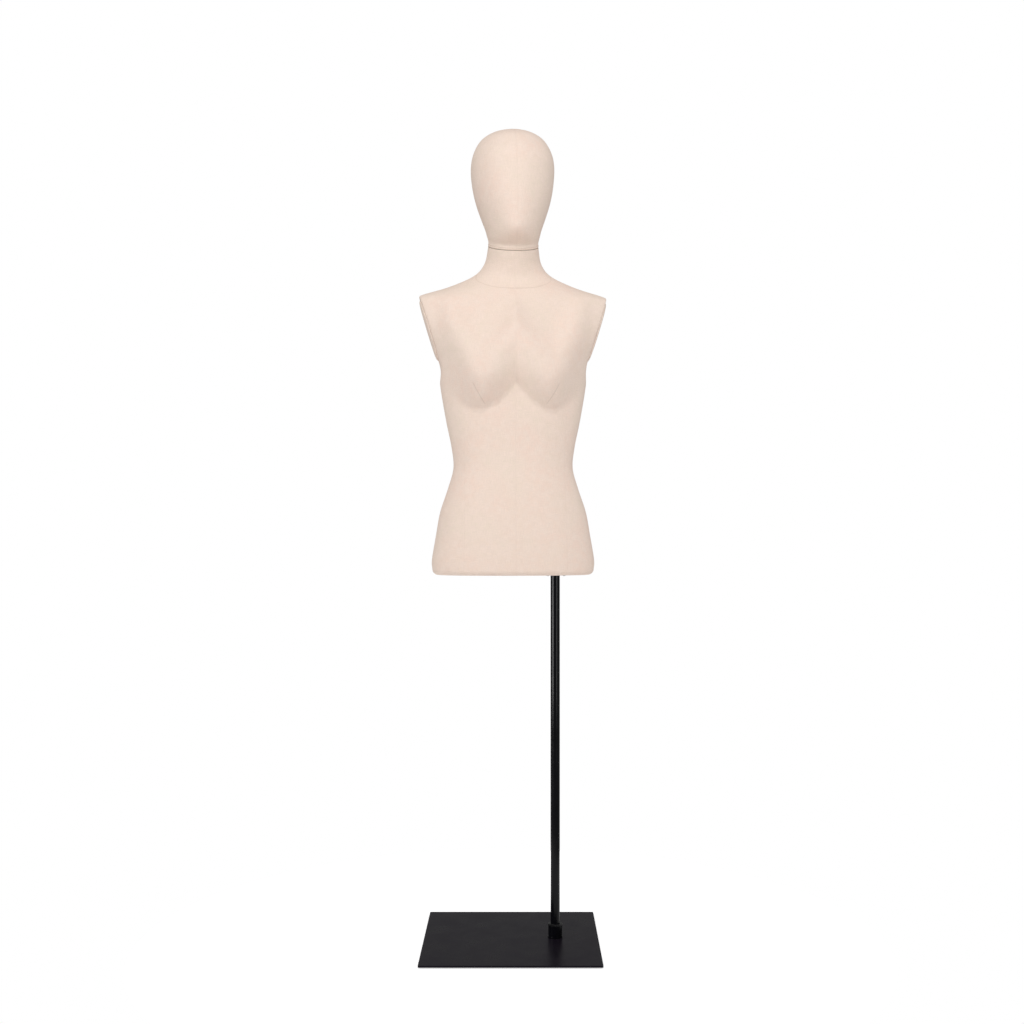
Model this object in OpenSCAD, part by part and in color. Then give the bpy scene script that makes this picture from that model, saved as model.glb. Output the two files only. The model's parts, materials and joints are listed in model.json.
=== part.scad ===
// Cloth-covered female bust form with a plain head, on a pole with a square base plate.
// The form's front looks towards -Y and the floor is at Z = 0.
// The origin is on the floor, under the middle of the base plate.

/* [Base] */
// Side of the square base plate
base_w = 375; // [335:10:465]
// Thickness of the base plate
base_t = 4; // [4:0.5:8]
// Radius of the base plate's corners
base_corner_r = 3; // [1:0.5:10]
// Diameter of the four rubber feet
foot_d = 22; // [14:1:28]
// Thickness of the rubber feet
foot_t = 2; // [1:0.5:4]
// Distance of each foot's middle from the plate's edges
foot_inset = 24; // [18:1:40]
// Diameter of the bolt that holds the pole's spigot
base_bolt_d = 10; // [8:1:10]
// Diameter of that bolt's countersunk head
base_bolt_head_d = 17; // [15:0.5:19]
// Height of that bolt's countersunk head
base_bolt_head_t = 3.5; // [2:0.5:3.5]
// How far that bolt reaches into the spigot
base_bolt_reach = 25; // [15:1:40]

/* [Pole] */
// Outside diameter of the pole
pole_d = 20; // [18:0.5:24]
// Wall of the pole
pole_wall = 1.5; // [1:0.25:2]
// Length of the pole
pole_len = 1080; // [1000:10:1200]
// Distance of the pole from the middle of the base
pole_x = 95; // [60:1:110]
// Height of the spigot inside the pole's foot
spigot_h = 60; // [40:1:120]
// Length of the plug inside the pole's top
plug_len = 18; // [10:1:30]
// Thickness of that plug's rim
plug_rim_t = 2; // [1:0.5:4]

/* [Collar] */
// Outside diameter of the collar at the pole's foot
collar_d = 30; // [30:0.5:40]
// Height of the collar
collar_h = 26; // [20:1:45]
// Height of the foot ring and step of its edge past the collar
collar_ring_h = 3; // [2:0.5:6]
// How far the foot ring and the bush's lip stand out past the collar
collar_lip = 0.75; // [0.5:0.25:2]
// Wall of the plastic bush between the collar and the pole
bush_wall = 2; // [1.5:0.25:2.5]
// Height of the bush's lip above the collar
bush_lip_h = 4.5; // [3:0.5:8]
// Width of the groove under the bush's lip
bush_groove_h = 1; // [0.5:0.25:1.5]
// Diameter of the collar's set screw
set_screw_d = 5; // [4:1:6]

/* [Form] */
// Height of the form's bottom above the floor
form_z = 789; // [740:5:840]
// Distance of the pole's middle inwards from the waist's side
pole_in = 37.5; // [28:0.5:68]
// Turn of the form about the pole, to its left
form_turn = 4; // [0:0.5:15]
// Height from the form's bottom to its shoulder tips
form_h = 594; // [550:1:640]
// Height from the shoulder tips to the middle of the neck's top
neck_h = 111; // [100:1:140]
// Radius of the form's bottom edge
edge_r = 12; // [8:1:16]
// Width of the hips
hip_w = 349; // [320:1:400]
// Depth of the hips
hip_depth = 215; // [190:1:240]
// Width of the waist
waist_w = 257; // [240:1:300]
// Depth of the waist
waist_depth = 152; // [140:1:180]
// Width of the chest just under the arms
chest_w = 327; // [300:1:335]
// Depth of the chest without the bust
chest_depth = 189; // [170:1:210]
// Width between the two arm faces at the shoulder tips
shoulder_w = 402; // [385:1:440]
// Lean of the arm faces from upright
arm_lean = 17; // [12:0.5:18]
// Width of the neck's top
neck_w = 108; // [95:0.5:120]
// Depth of the neck's top
neck_depth = 111; // [100:1:120]
// Forward lean of the neck
neck_lean = 20; // [10:1:24]
// Distance between the bust points
bust_w = 160; // [140:1:170]
// Height of the bust points above the form's bottom
bust_h = 404; // [390:1:415]
// How far the bust stands out of the chest
bust_out = 42; // [30:1:50]
// How far the bust reaches below its points
bust_low = 56; // [40:1:60]

/* [Head] */
// Height of the head above the middle of the neck's top
head_h = 247; // [230:1:280]
// Width of the head
head_w = 179; // [165:1:190]
// Depth of the head
head_depth = 198; // [180:1:210]
// Turn of the head on the neck, to its left
head_turn = 2; // [0:0.5:10]

/* [Walls and boards] */
// Thickness of the cloth
cloth_t = 1.2; // [0.8:0.1:2]
// Wall of the moulded shells
shell_t = 3; // [2.5:0.25:4]
// Thickness of the plates on the arm faces
arm_board_t = 3; // [2:0.5:5]
// Height of the plates on the arm faces
arm_plate_h = 134; // [110:1:138]
// Width of the plates on the arm faces
arm_plate_w = 86; // [70:1:92]
// How far an arm plate's sides slope in
arm_slope = 5; // [0:0.5:10]
// Thickness of the brace in the waist
brace_t = 9; // [6:1:12]
// Height of that brace above the waist's narrowest place
brace_up = 32.7; // [10:0.1:50]
// Thickness of the neck's wooden block
neck_block_t = 20; // [14:1:30]
// Thickness of the neck cap's board
cap_board_t = 2.8; // [2:0.2:4]
// Thickness of the head's wooden plug
head_plug_t = 12; // [10:1:16]

/* [Socket and fasteners] */
// Wall of the steel socket that the pole slides into
socket_wall = 2.4; // [1.5:0.1:3]
// Thickness of the stop that closes the socket
stop_t = 4; // [3:0.5:8]
// Thickness of the socket's flange
flange_t = 2.4; // [2:0.1:4]
// Diameter of the socket's flange
flange_d = 74; // [66:1:80]
// Diameter of the flange screws
flange_screw_d = 4; // [3:0.5:5]
// Length of the flange screws under their heads
flange_screw_len = 12; // [10:1:13]
// Diameter of the bolt that the neck cap turns on
pivot_d = 8; // [6:1:10]
// Diameter of that bolt's flat head
pivot_head_d = 16; // [14:1:20]
// Outside diameter of the two magnets
magnet_d = 40; // [32:1:46]
// Thickness of the head's magnet
head_magnet_t = 4; // [3:0.5:6]

/* [Fits] */
// Gap around the pole and its spigot, where they turn or slide
run_fit = 0.05; // [0.02:0.01:0.1]
// Gap around the neck cap's bolt
pivot_fit = 0.05; // [0.02:0.01:0.1]
// Gap under the neck cap and under the head, where they turn and lift off
cap_fit = 0.1; // [0.05:0.05:0.3]
// Gap around pieces that are glued or screwed in place
seat_fit = 0.2; // [0.1:0.05:0.4]
// Gap around a board that stands inside a shell
board_fit = 0.6; // [0.4:0.1:1]

/* [Hidden] */

$fn = 64;

cloth_color = [0.914, 0.847, 0.792];
shell_color = [0.86, 0.86, 0.82];
wood_color = [0.76, 0.62, 0.44];
steel_color = [0.62, 0.63, 0.65];
black_color = [0.19, 0.18, 0.20];
rubber_color = [0.10, 0.10, 0.10];

// Points around a section of the torso and of the head
TORSO_SIDES = 40;
HEAD_SIDES = 32;
// Steps round the form's bottom edge
EDGE_STEPS = 4;
// A cut runs this far past the surface it opens
PAST = 1;

plate_top = foot_t + base_t;
pole_top = plate_top + pole_len;
rest_z = pole_top + plug_rim_t;
pole_bore = pole_d - 2 * pole_wall;
socket_bore = pole_d + 2 * run_fit;
socket_d = socket_bore + 2 * socket_wall;
socket_z = form_z + cloth_t;
socket_len = rest_z - socket_z;
bush_d = pole_d + 2 * run_fit + 2 * bush_wall;
shell_out = cloth_t;
shell_in = cloth_t + shell_t;
neck_top = form_h + neck_h;
neck_mid = -6;
cap_t = cap_board_t + cloth_t;
head_foot = cap_t + 2 * cap_fit;
pivot_end = 1.6 * pivot_d;
arm_foot = 0.765 * form_h;
waist_h = 0.386 * form_h;
brace_h = waist_h + brace_up;
// Half length of the soft bend where an arm face meets the shoulder
arm_soft = 5;
// How round the bust's cleft is
cleft_r = 14;
// How far the neck block stands inside the shell, which bends away under it
block_in = 3.2;

hip = hip_w / 2;
waist = waist_w / 2;
chest = chest_w / 2;
shoulder = shoulder_w / 2;
neck = neck_w / 2;
skull = head_w / 2;
form_pole = waist - pole_in;

// Sections of the torso from the bottom up, each with its height, half width, depth in front,
// depth behind, place of its middle along Y, forward lean and squareness (2 is an ellipse)
TORSO = [
    [edge_r, 0.995 * hip, 0.43 * hip_depth, 0.545 * hip_depth, 0, 0, 2.4],
    [0.055 * form_h, hip, 0.435 * hip_depth, 0.563 * hip_depth, 0, 0, 2.4],
    [0.14 * form_h, 0.952 * hip, 0.435 * hip_depth, 0.56 * hip_depth, 0, 0, 2.35],
    [0.226 * form_h, 0.899 * hip, 0.417 * hip_depth, 0.49 * hip_depth, 0, 0, 2.3],
    [0.312 * form_h, 1.09 * waist, 0.55 * waist_depth, 0.56 * waist_depth, 0, 0, 2.25],
    [waist_h, waist, 0.515 * waist_depth, 0.485 * waist_depth, 0, 0, 2.2],
    [0.46 * form_h, 1.031 * waist, 0.51 * waist_depth, 0.485 * waist_depth, 0, 0, 2.2],
    [0.546 * form_h, 1.113 * waist, 0.53 * waist_depth, 0.54 * waist_depth, 0, 0, 2.2],
    [0.634 * form_h, 0.932 * chest, 0.445 * chest_depth, 0.495 * chest_depth, 0, 0, 2.2],
    [0.71 * form_h, 0.975 * chest, 0.465 * chest_depth, 0.535 * chest_depth, 0, 0, 2.2],
    [0.772 * form_h, 1.018 * chest, 0.465 * chest_depth, 0.56 * chest_depth, 0, 0, 2.2],
    [0.805 * form_h, 0.873 * shoulder, 0.46 * chest_depth, 0.565 * chest_depth, 0, 0, 2.2],
    [0.845 * form_h, 0.945 * shoulder, 0.445 * chest_depth, 0.56 * chest_depth, 1, 0, 2.2],
    [0.9 * form_h, 1.045 * shoulder, 0.415 * chest_depth, 0.545 * chest_depth, 2, 0, 2.2],
    [0.956 * form_h, 1.1 * shoulder, 0.378 * chest_depth, 0.505 * chest_depth, 4, 0, 2.15],
    [0.985 * form_h, 1.09 * shoulder, 0.358 * chest_depth, 0.468 * chest_depth, 5, 1, 2.05],
    [form_h, 1.05 * shoulder, 0.35 * chest_depth, 0.44 * chest_depth, 6, 2, 1.95],
    [form_h + 0.08 * neck_h, 0.943 * shoulder, 0.34 * chest_depth, 0.412 * chest_depth, 7, 3, 1.85],
    [form_h + 0.19 * neck_h, 0.742 * shoulder, 0.56 * neck_depth, 0.655 * neck_depth, 8, 5, 1.8],
    [form_h + 0.3 * neck_h, 2.18 * neck, 0.515 * neck_depth, 0.585 * neck_depth, 9, 8, 1.85],
    [form_h + 0.41 * neck_h, 1.69 * neck, 0.496 * neck_depth, 0.53 * neck_depth, 9, 11, 1.9],
    [form_h + 0.52 * neck_h, 1.37 * neck, 0.487 * neck_depth, 0.496 * neck_depth, 8, 14, 2],
    [form_h + 0.64 * neck_h, 1.18 * neck, 0.487 * neck_depth, 0.486 * neck_depth, 5, 16.5, 2],
    [form_h + 0.76 * neck_h, 1.08 * neck, 0.496 * neck_depth, 0.486 * neck_depth, 2, 18.5, 2],
    [form_h + 0.88 * neck_h, 1.035 * neck, 0.505 * neck_depth, 0.486 * neck_depth, -2, 19.5, 2],
    [neck_top, neck, 0.514 * neck_depth, 0.486 * neck_depth, neck_mid, neck_lean, 2],
];

// Sections of the head, in the same order, with heights above the middle of the neck's top
HEAD = [
    [head_foot * cos(neck_lean), 0.995 * neck, 0.514 * neck_depth, 0.486 * neck_depth,
        neck_mid - head_foot * sin(neck_lean), neck_lean, 2],
    [0.04 * head_h, 0.995 * neck, 0.525 * neck_depth, 0.486 * neck_depth, -8, 18.5, 2],
    [0.08 * head_h, 1.044 * neck, 0.66 * neck_depth, 0.503 * neck_depth, -9, 14, 1.95],
    [0.13 * head_h, 0.668 * skull, 0.435 * head_depth, 0.305 * head_depth, -10, 9, 1.85],
    [0.19 * head_h, 0.728 * skull, 0.462 * head_depth, 0.35 * head_depth, -10, 6, 1.85],
    [0.27 * head_h, 0.806 * skull, 0.478 * head_depth, 0.4 * head_depth, -10, 4, 1.9],
    [0.36 * head_h, 0.884 * skull, 0.488 * head_depth, 0.444 * head_depth, -10, 2, 1.95],
    [0.46 * head_h, 0.947 * skull, 0.493 * head_depth, 0.478 * head_depth, -9, 1, 2],
    [0.56 * head_h, 0.985 * skull, 0.493 * head_depth, 0.5 * head_depth, -8, 0, 2.05],
    [0.66 * head_h, skull, 0.487 * head_depth, 0.505 * head_depth, -8, 0, 2.1],
    [0.75 * head_h, 0.972 * skull, 0.468 * head_depth, 0.488 * head_depth, -8, 0, 2.1],
    [0.83 * head_h, 0.897 * skull, 0.427 * head_depth, 0.45 * head_depth, -7, 0, 2.05],
    [0.9 * head_h, 0.775 * skull, 0.367 * head_depth, 0.39 * head_depth, -7, 0, 2],
    [0.95 * head_h, 0.6 * skull, 0.283 * head_depth, 0.303 * head_depth, -6, 0, 2],
    [0.98 * head_h, 0.4 * skull, 0.19 * head_depth, 0.202 * head_depth, -6, 0, 2],
    [0.995 * head_h, 0.2 * skull, 0.095 * head_depth, 0.1 * head_depth, -6, 0, 2],
    [head_h, 0.05 * skull, 0.024 * head_depth, 0.024 * head_depth, -6, 0, 2],
];

// Places along the sections where a ring of points is drawn: every half section up to the arms,
// finer under the bust, and every section over the shoulders and neck
TORSO_STEPS = [for (i = [0 : 13]) i / 2, for (i = [27 : 33]) i / 4, 8.5, 9, 9.5,
    for (i = [10 : len(TORSO) - 1]) i];
HEAD_STEPS = [0, 1, 2, 2.5, 3, 3.5, for (i = [8 : 2 * len(HEAD) - 8]) i / 2,
    for (i = [len(HEAD) - 3 : len(HEAD) - 1]) i];

// Smooth value of column c at place u along the sections
function along(rows, c, u) =
    let (last = len(rows) - 1, i = min(floor(u), last - 1), f = u - i)
    let (before = rows[max(i - 1, 0)][c], here = rows[i][c])
    let (next = rows[i + 1][c], after = rows[min(i + 2, last)][c])
    here + f * (next - before) / 2
        + f * f * (before - 2.5 * here + 2 * next - after / 2)
        + f * f * f * (1.5 * (here - next) + (after - before) / 2);

// How far the side's surface faces upwards at place u: 0 for a wall, 1 for a flat top
function facing_up(rows, u) =
    let (e = 0.05, a = max(u - e, 0), b = min(u + e, len(rows) - 1))
    let (rise = along(rows, 0, b) - along(rows, 0, a), out = along(rows, 1, b) - along(rows, 1, a))
    let (up = -out / norm([rise, out]))
    max(0, up - 0.3) / 0.7;

// Section at place u, moved inwards by a depth
function section(rows, u, inset) =
    let (up = facing_up(rows, u), side = sqrt(1 - up * up), s = [for (c = [0 : 6]) along(rows, c, u)])
    [s[0] - inset * up, s[1] - inset * side, s[2] - inset * (1 - 0.4 * up),
        s[3] - inset * (1 - 0.4 * up), s[4], s[5], s[6]];

// Section at an angle round the form's bottom edge, from 0 underneath to 90 at the side
function edge_section(angle, inset) =
    let (s = TORSO[0], r = edge_r - inset, pull = inset + r * (1 - sin(angle)))
    [inset + r * (1 - cos(angle)), s[1] - pull, s[2] - pull, s[3] - pull, s[4], s[5], s[6]];

// Largest half width at a height, where the arm faces cut the shoulders
function arm_limit(h) = h < arm_foot ? 10 * shoulder : shoulder - (form_h - h) * tan(arm_lean);

// A value kept under a limit, with a soft bend where it meets the limit
function soft_min(v, limit) =
    v < limit - arm_soft ? v
    : v > limit + arm_soft ? limit
    : v - pow(v - limit + arm_soft, 2) / (4 * arm_soft);

// How far the bust stands out at a place on the chest. An arc under each side is its lower edge;
// from there it bulges out over rise, then sinks back towards the neckline.
function bust(x, h) =
    let (across = sqrt(x * x + cleft_r * cleft_r) - bust_w / 2, outside = max(0, across))
    let (reach = across < 0 ? bust_w / 2 - cleft_r : 0.46 * bust_w)
    let (sag = pow(max(0, 1 - pow(across / reach, 2)), across < 0 ? 0.75 : 1.5))
    let (over = h - bust_h + bust_low * sag, soft = 3 + 0.15 * outside)
    let (above = over > soft ? over : pow(max(0, over + soft), 2) / (4 * soft))
    let (rise = 1.25 * bust_low + 0.5 * outside)
    let (up = 1 - pow(max(0, 1 - above / rise), 1.7))
    let (back = pow(max(0, 1 - pow(max(0, above - rise) / (0.22 * form_h), 2)), 2))
    let (valley = 0.2 * (1 - cos(360 * across / bust_w)) * max(0, 1 - max(0, above - rise) / 60))
    let (outer = pow(max(0, 1 - pow(across / (0.55 * bust_w), 2)), 1.5))
    bust_out * up * back * (across < 0 ? 1 - valley : outer);

// Points around a section; the torso's also have the arm faces and the bust
function ring(s, sides, inset, torso) =
    [for (k = [0 : sides - 1])
        let (a = 360 * k / sides, c = cos(a), d = sin(a), p = 2 / s[6])
        let (wide = s[1] * pow(abs(c), p), y = (d < 0 ? -s[2] : s[3]) * pow(abs(d), p))
        let (x = torso ? soft_min(wide, arm_limit(s[0] + y * sin(s[5])) - inset) : wide)
        let (side = c < 0 ? -x : x)
        let (out = torso && d < 0 ? y - bust(side, s[0]) * sqrt(-d) : y)
        [side, s[4] + out * cos(s[5]), s[0] + out * sin(s[5])]];

// Rings of the torso's surface moved inwards by a depth, with or without its bottom edge
function torso_rings(inset, with_edge) = concat(
    with_edge ? [for (k = [0 : EDGE_STEPS - 1])
        ring(edge_section(90 * k / EDGE_STEPS, inset), TORSO_SIDES, inset, true)] : [],
    [for (u = TORSO_STEPS) ring(section(TORSO, u, inset), TORSO_SIDES, inset, true)]);

function head_rings(inset) =
    [for (u = HEAD_STEPS) ring(lifted(section(HEAD, u, inset), neck_top), HEAD_SIDES, inset, false)];

function lifted(s, dz) = [s[0] + dz, s[1], s[2], s[3], s[4], s[5], s[6]];

// Points k from first to last of each ring, going on past the end of the ring
function part_of(rings, first, last) =
    [for (r = rings) [for (k = [first : last]) r[k % len(r)]]];

function flat(lists) = [for (l = lists) for (v = l) v];

// The two triangles of a four-sided face
function halves(a, b, c, d) = [[a, b, c], [a, c, d]];

// A wall between two sets of rings, either round in full or along an open stretch of each ring
module wall(outer, inner, round_in_full) {
    n = len(outer[0]);
    rows = len(outer);
    under = rows * n;
    last = round_in_full ? n - 1 : n - 2;
    sides = [for (i = [0 : rows - 2]) for (k = [0 : last])
        let (a = i * n + k, b = i * n + (k + 1) % n)
        concat(halves(a, a + n, b + n, b), halves(under + a, under + b, under + b + n, under + a + n))];
    ends = [for (k = [0 : last])
        let (a = k, b = (k + 1) % n, top = (rows - 1) * n)
        concat(halves(a, b, under + b, under + a),
            halves(top + b, top + a, under + top + a, under + top + b))];
    edges = round_in_full ? [] : [for (i = [0 : rows - 2])
        let (a = i * n, b = i * n + n - 1)
        concat(halves(a + n, a, under + a, under + a + n),
            halves(b, b + n, under + b + n, under + b))];
    polyhedron(concat(flat(outer), flat(inner)), flat(concat(sides, ends, edges)), convexity = 6);
}

// A closed skin between two sets of rings that both end in a small flat crown
module crowned_wall(outer, inner) {
    n = len(outer[0]);
    rows = len(outer);
    under = rows * n;
    top = (rows - 1) * n;
    sides = [for (i = [0 : rows - 2]) for (k = [0 : n - 1])
        let (a = i * n + k, b = i * n + (k + 1) % n)
        concat(halves(a, a + n, b + n, b), halves(under + a, under + b, under + b + n, under + a + n))];
    foot = [for (k = [0 : n - 1]) let (b = (k + 1) % n) halves(k, b, under + b, under + k)];
    crowns = [[for (k = [n - 1 : -1 : 0]) top + k], [for (k = [0 : n - 1]) under + top + k]];
    polyhedron(concat(flat(outer), flat(inner)), concat(flat(concat(sides, foot)), crowns), convexity = 6);
}

// A solid through rings, closed by flat ends
module filled(rings) {
    n = len(rings[0]);
    rows = len(rings);
    sides = [for (i = [0 : rows - 2]) for (k = [0 : n - 1])
        let (a = i * n + k, b = i * n + (k + 1) % n) halves(a, a + n, b + n, b)];
    ends = [[for (k = [0 : n - 1]) k], [for (k = [n - 1 : -1 : 0]) (rows - 1) * n + k]];
    polyhedron(flat(rings), concat(flat(sides), ends), convexity = 4);
}

module tube(outer_d, inner_d, h) {
    difference() {
        cylinder(d = outer_d, h = h);
        translate([0, 0, -PAST]) cylinder(d = inner_d, h = h + 2 * PAST);
    }
}

// Puts children at the pole's axis
module at_pole(z = 0) {
    translate([pole_x, 0, z]) children();
}

// Puts children in the form's own frame, whose origin is the middle of the form's bottom
module at_form() {
    at_pole(form_z) rotate([0, 0, form_turn]) translate([-form_pole, 0, 0]) children();
}

// Puts children in the frame of the neck's top, whose Z runs up along the leaning neck
module at_neck() {
    at_form() translate([0, neck_mid, neck_top]) rotate([neck_lean, 0, 0]) children();
}

// Puts children in the neck cap's frame, just clear of the neck's top
module at_cap() {
    at_neck() translate([0, 0, cap_fit]) children();
}

// Puts children, drawn in the form's frame, where the turned head has them
module at_head() {
    at_neck() rotate([0, 0, head_turn]) rotate([-neck_lean, 0, 0])
        translate([0, -neck_mid, -neck_top]) children();
}

// Puts children on the middle of an arm face, with Z outwards; side is 1 or -1
module at_arm(side) {
    mid_h = (arm_foot + form_h) / 2;
    at_form() translate([side * arm_limit(mid_h), 5, mid_h])
        rotate([0, side * (90 + arm_lean), 0]) children();
}

// Points of an oval at a height
function oval(long, short, z) =
    [for (k = [0 : 39]) [long / 2 * cos(9 * k), short / 2 * sin(9 * k), z]];

// Rings of an arm plate whose sides slope in as far as its top, with a straight part below it
function arm_rings(less, below, top) =
    let (long = arm_plate_h - less, short = arm_plate_w - less)
    concat(below > 0 ? [oval(long, short, -below)] : [],
        [oval(long, short, 0), oval(long - 2 * arm_slope, short - 2 * arm_slope, top)]);

// Outline of the neck's top, pulled in by a depth
module neck_outline(inset) {
    polygon([for (k = [0 : HEAD_SIDES - 1])
        let (a = 360 * k / HEAD_SIDES, y = sin(a) < 0 ? 0.514 * neck_depth : 0.486 * neck_depth)
        [(neck - inset) * cos(a), (y - inset) * sin(a)]]);
}

// ---- Stand ----

module base_plate() {
    color(black_color) difference() {
        translate([0, 0, foot_t]) linear_extrude(base_t)
            offset(base_corner_r) square(base_w - 2 * base_corner_r, center = true);
        at_pole(foot_t - PAST) cylinder(d = base_bolt_d + 2 * seat_fit, h = base_t + 2 * PAST);
        at_pole(foot_t) base_bolt_head(seat_fit);
    }
}

// The bolt's countersunk head, from the plate's underside up, grown by a gap
module base_bolt_head(gap) {
    wide = base_bolt_head_d / 2 + gap;
    narrow = base_bolt_d / 2 + gap;
    rotate_extrude() polygon([[0, 0], [wide, 0], [wide, 0.5], [narrow, base_bolt_head_t + gap],
        [0, base_bolt_head_t + gap]]);
}

module base_feet() {
    reach = base_w / 2 - foot_inset;
    color(rubber_color) for (x = [-reach, reach], y = [-reach, reach])
        translate([x, y, 0]) cylinder(d = foot_d, h = foot_t);
}

module base_bolt() {
    color(steel_color) difference() {
        at_pole(foot_t) union() {
            base_bolt_head(0);
            cylinder(d = base_bolt_d, h = base_t + base_bolt_reach);
        }
        at_pole(foot_t - PAST) cylinder(d = 0.6 * base_bolt_d, h = PAST + 2, $fn = 6);
    }
}

module base_spigot() {
    color(steel_color) difference() {
        at_pole(plate_top) cylinder(d = pole_bore - 2 * run_fit, h = spigot_h);
        at_pole(plate_top - PAST) cylinder(d = base_bolt_d, h = PAST + base_bolt_reach);
    }
}

module pole_collar() {
    color(black_color) difference() {
        at_pole(plate_top) union() {
            cylinder(d = collar_d, h = collar_h);
            cylinder(d = collar_d + 2 * collar_lip, h = collar_ring_h);
        }
        at_pole(plate_top - PAST) cylinder(d = bush_d, h = collar_h + 2 * PAST);
        at_set_screw() cylinder(d = set_screw_d, h = collar_d);
    }
}

module collar_bush() {
    lip_r = collar_d / 2 + collar_lip;
    in_r = pole_d / 2 + run_fit;
    color(black_color) difference() {
        at_pole(plate_top) rotate_extrude() polygon([
            [in_r, 0], [bush_d / 2, 0], [bush_d / 2, collar_h],
            [collar_d / 2 - collar_lip, collar_h], [collar_d / 2 - collar_lip, collar_h + bush_groove_h],
            [lip_r, collar_h + bush_groove_h], [lip_r, collar_h + bush_lip_h - 0.8],
            [lip_r - 0.8, collar_h + bush_lip_h], [in_r, collar_h + bush_lip_h]]);
        at_set_screw() cylinder(d = set_screw_d, h = collar_d);
    }
}

// Puts children at the set screw, behind the pole, with Z outwards from the pole's axis
module at_set_screw() {
    at_pole(plate_top + collar_h / 2) rotate([-90, 0, 0]) children();
}

module collar_set_screw() {
    start = pole_d / 2 + 0.3;
    color(steel_color) at_set_screw() difference() {
        translate([0, 0, start]) cylinder(d = set_screw_d, h = collar_d / 2 - start - 0.5);
        translate([0, 0, collar_d / 2 - 2.5]) cylinder(d = set_screw_d / 2, h = 2.5, $fn = 6);
    }
}

module pole() {
    color(black_color) at_pole(plate_top) tube(pole_d, pole_bore, pole_len);
}

module pole_top_plug() {
    color(rubber_color) at_pole(pole_top) union() {
        translate([0, 0, -plug_len]) cylinder(d = pole_bore, h = plug_len + plug_rim_t);
        cylinder(d = pole_d, h = plug_rim_t);
    }
}

// ---- Torso ----

module torso_shell(first, last) {
    color(shell_color) at_form() wall(
        part_of(torso_rings(shell_out, false), first, last),
        part_of(torso_rings(shell_in, false), first, last), false);
}

module torso_shell_front() {
    torso_shell(TORSO_SIDES / 2, TORSO_SIDES);
}

module torso_shell_back() {
    torso_shell(0, TORSO_SIDES / 2);
}

module torso_cover() {
    color(cloth_color) at_form() wall(torso_rings(0, true), torso_rings(shell_out, true), true);
}

module bottom_board() {
    steps = [for (k = [0 : EDGE_STEPS]) edge_section(90 * k / EDGE_STEPS, cloth_t)];
    color(wood_color) difference() {
        at_form() filled([for (s = steps) ring(s, TORSO_SIDES, cloth_t, true)]);
        at_pole(form_z - PAST) cylinder(d = socket_d + 2 * seat_fit, h = edge_r + 2 * PAST);
        at_flange_screws() translate([0, 0, -PAST]) cylinder(d = flange_screw_d, h = edge_r + 2 * PAST);
    }
}

module bottom_cloth() {
    color(cloth_color) difference() {
        at_form() linear_extrude(cloth_t) polygon([for (p = ring(edge_section(0, 0), TORSO_SIDES, 0, true))
            [p[0], p[1]]]);
        at_pole(form_z - PAST) cylinder(d = flange_d + 2 * seat_fit, h = cloth_t + 2 * PAST);
    }
}

// Plywood across the waist that steadies the socket
module waist_brace() {
    u = [for (i = [1 : len(TORSO) - 1]) if (TORSO[i][0] > brace_h && TORSO[i - 1][0] <= brace_h)
        i - (TORSO[i][0] - brace_h) / (TORSO[i][0] - TORSO[i - 1][0])][0];
    outline = ring(section(TORSO, u, shell_in + board_fit), TORSO_SIDES, 0, true);
    color(wood_color) difference() {
        at_form() translate([0, 0, brace_h - brace_t / 2]) linear_extrude(brace_t) difference() {
            polygon([for (p = outline) [p[0], p[1]]]);
            translate([-form_pole / 2, 0]) circle(d = 0.6 * waist_depth);
        }
        at_pole(form_z) cylinder(d = socket_d + 2 * seat_fit, h = form_h);
    }
}

module pole_socket() {
    color(steel_color) at_pole(socket_z) tube(socket_d, socket_bore, socket_len);
}

module socket_stop() {
    color(steel_color) at_pole(rest_z) cylinder(d = socket_d, h = stop_t);
}

// Puts a child at each of the flange's four screws, at the form's bottom
module at_flange_screws() {
    reach = (flange_d + socket_d) / 4;
    at_pole(socket_z) for (a = [45 : 90 : 315]) rotate([0, 0, form_turn + a]) translate([reach, 0, 0])
        children();
}

module socket_flange() {
    color(steel_color) difference() {
        at_pole(socket_z - flange_t) tube(flange_d, socket_bore, flange_t);
        at_flange_screws() translate([0, 0, -flange_t - PAST])
            cylinder(d = flange_screw_d, h = flange_t + 2 * PAST);
    }
}

module flange_screws() {
    head_t = 0.4 * flange_screw_d;
    head_d = 1.8 * flange_screw_d;
    color(steel_color) at_flange_screws() translate([0, 0, -flange_t]) {
        cylinder(d = flange_screw_d, h = flange_screw_len);
        translate([0, 0, -head_t]) cylinder(d1 = flange_screw_d, d2 = head_d, h = head_t);
    }
}

module arm_board(side) {
    color(wood_color) at_arm(side) filled(arm_rings(2 * cloth_t, 0, arm_board_t));
}

module arm_cloth(side) {
    color(cloth_color) at_arm(side) difference() {
        filled(arm_rings(0, 0, arm_board_t + cloth_t));
        filled(arm_rings(2 * cloth_t, PAST, arm_board_t));
    }
}

module neck_block() {
    color(wood_color) at_neck() difference() {
        translate([0, 0, -neck_block_t]) linear_extrude(neck_block_t) neck_outline(shell_in + block_in);
        translate([0, 0, -neck_block_t - PAST])
            cylinder(d = pivot_d + 2 * pivot_fit, h = neck_block_t + 2 * PAST);
    }
}

// ---- Neck cap ----

module cap_board() {
    color(wood_color) at_cap() difference() {
        linear_extrude(cap_board_t) neck_outline(cloth_t + seat_fit);
        translate([0, 0, -PAST]) cylinder(d = magnet_d + 2 * seat_fit, h = cap_board_t + 2 * PAST);
    }
}

module cap_cloth() {
    color(cloth_color) at_cap() difference() {
        linear_extrude(cap_t) neck_outline(0);
        translate([0, 0, -PAST]) linear_extrude(cap_board_t + PAST) neck_outline(cloth_t + seat_fit);
    }
}

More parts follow.
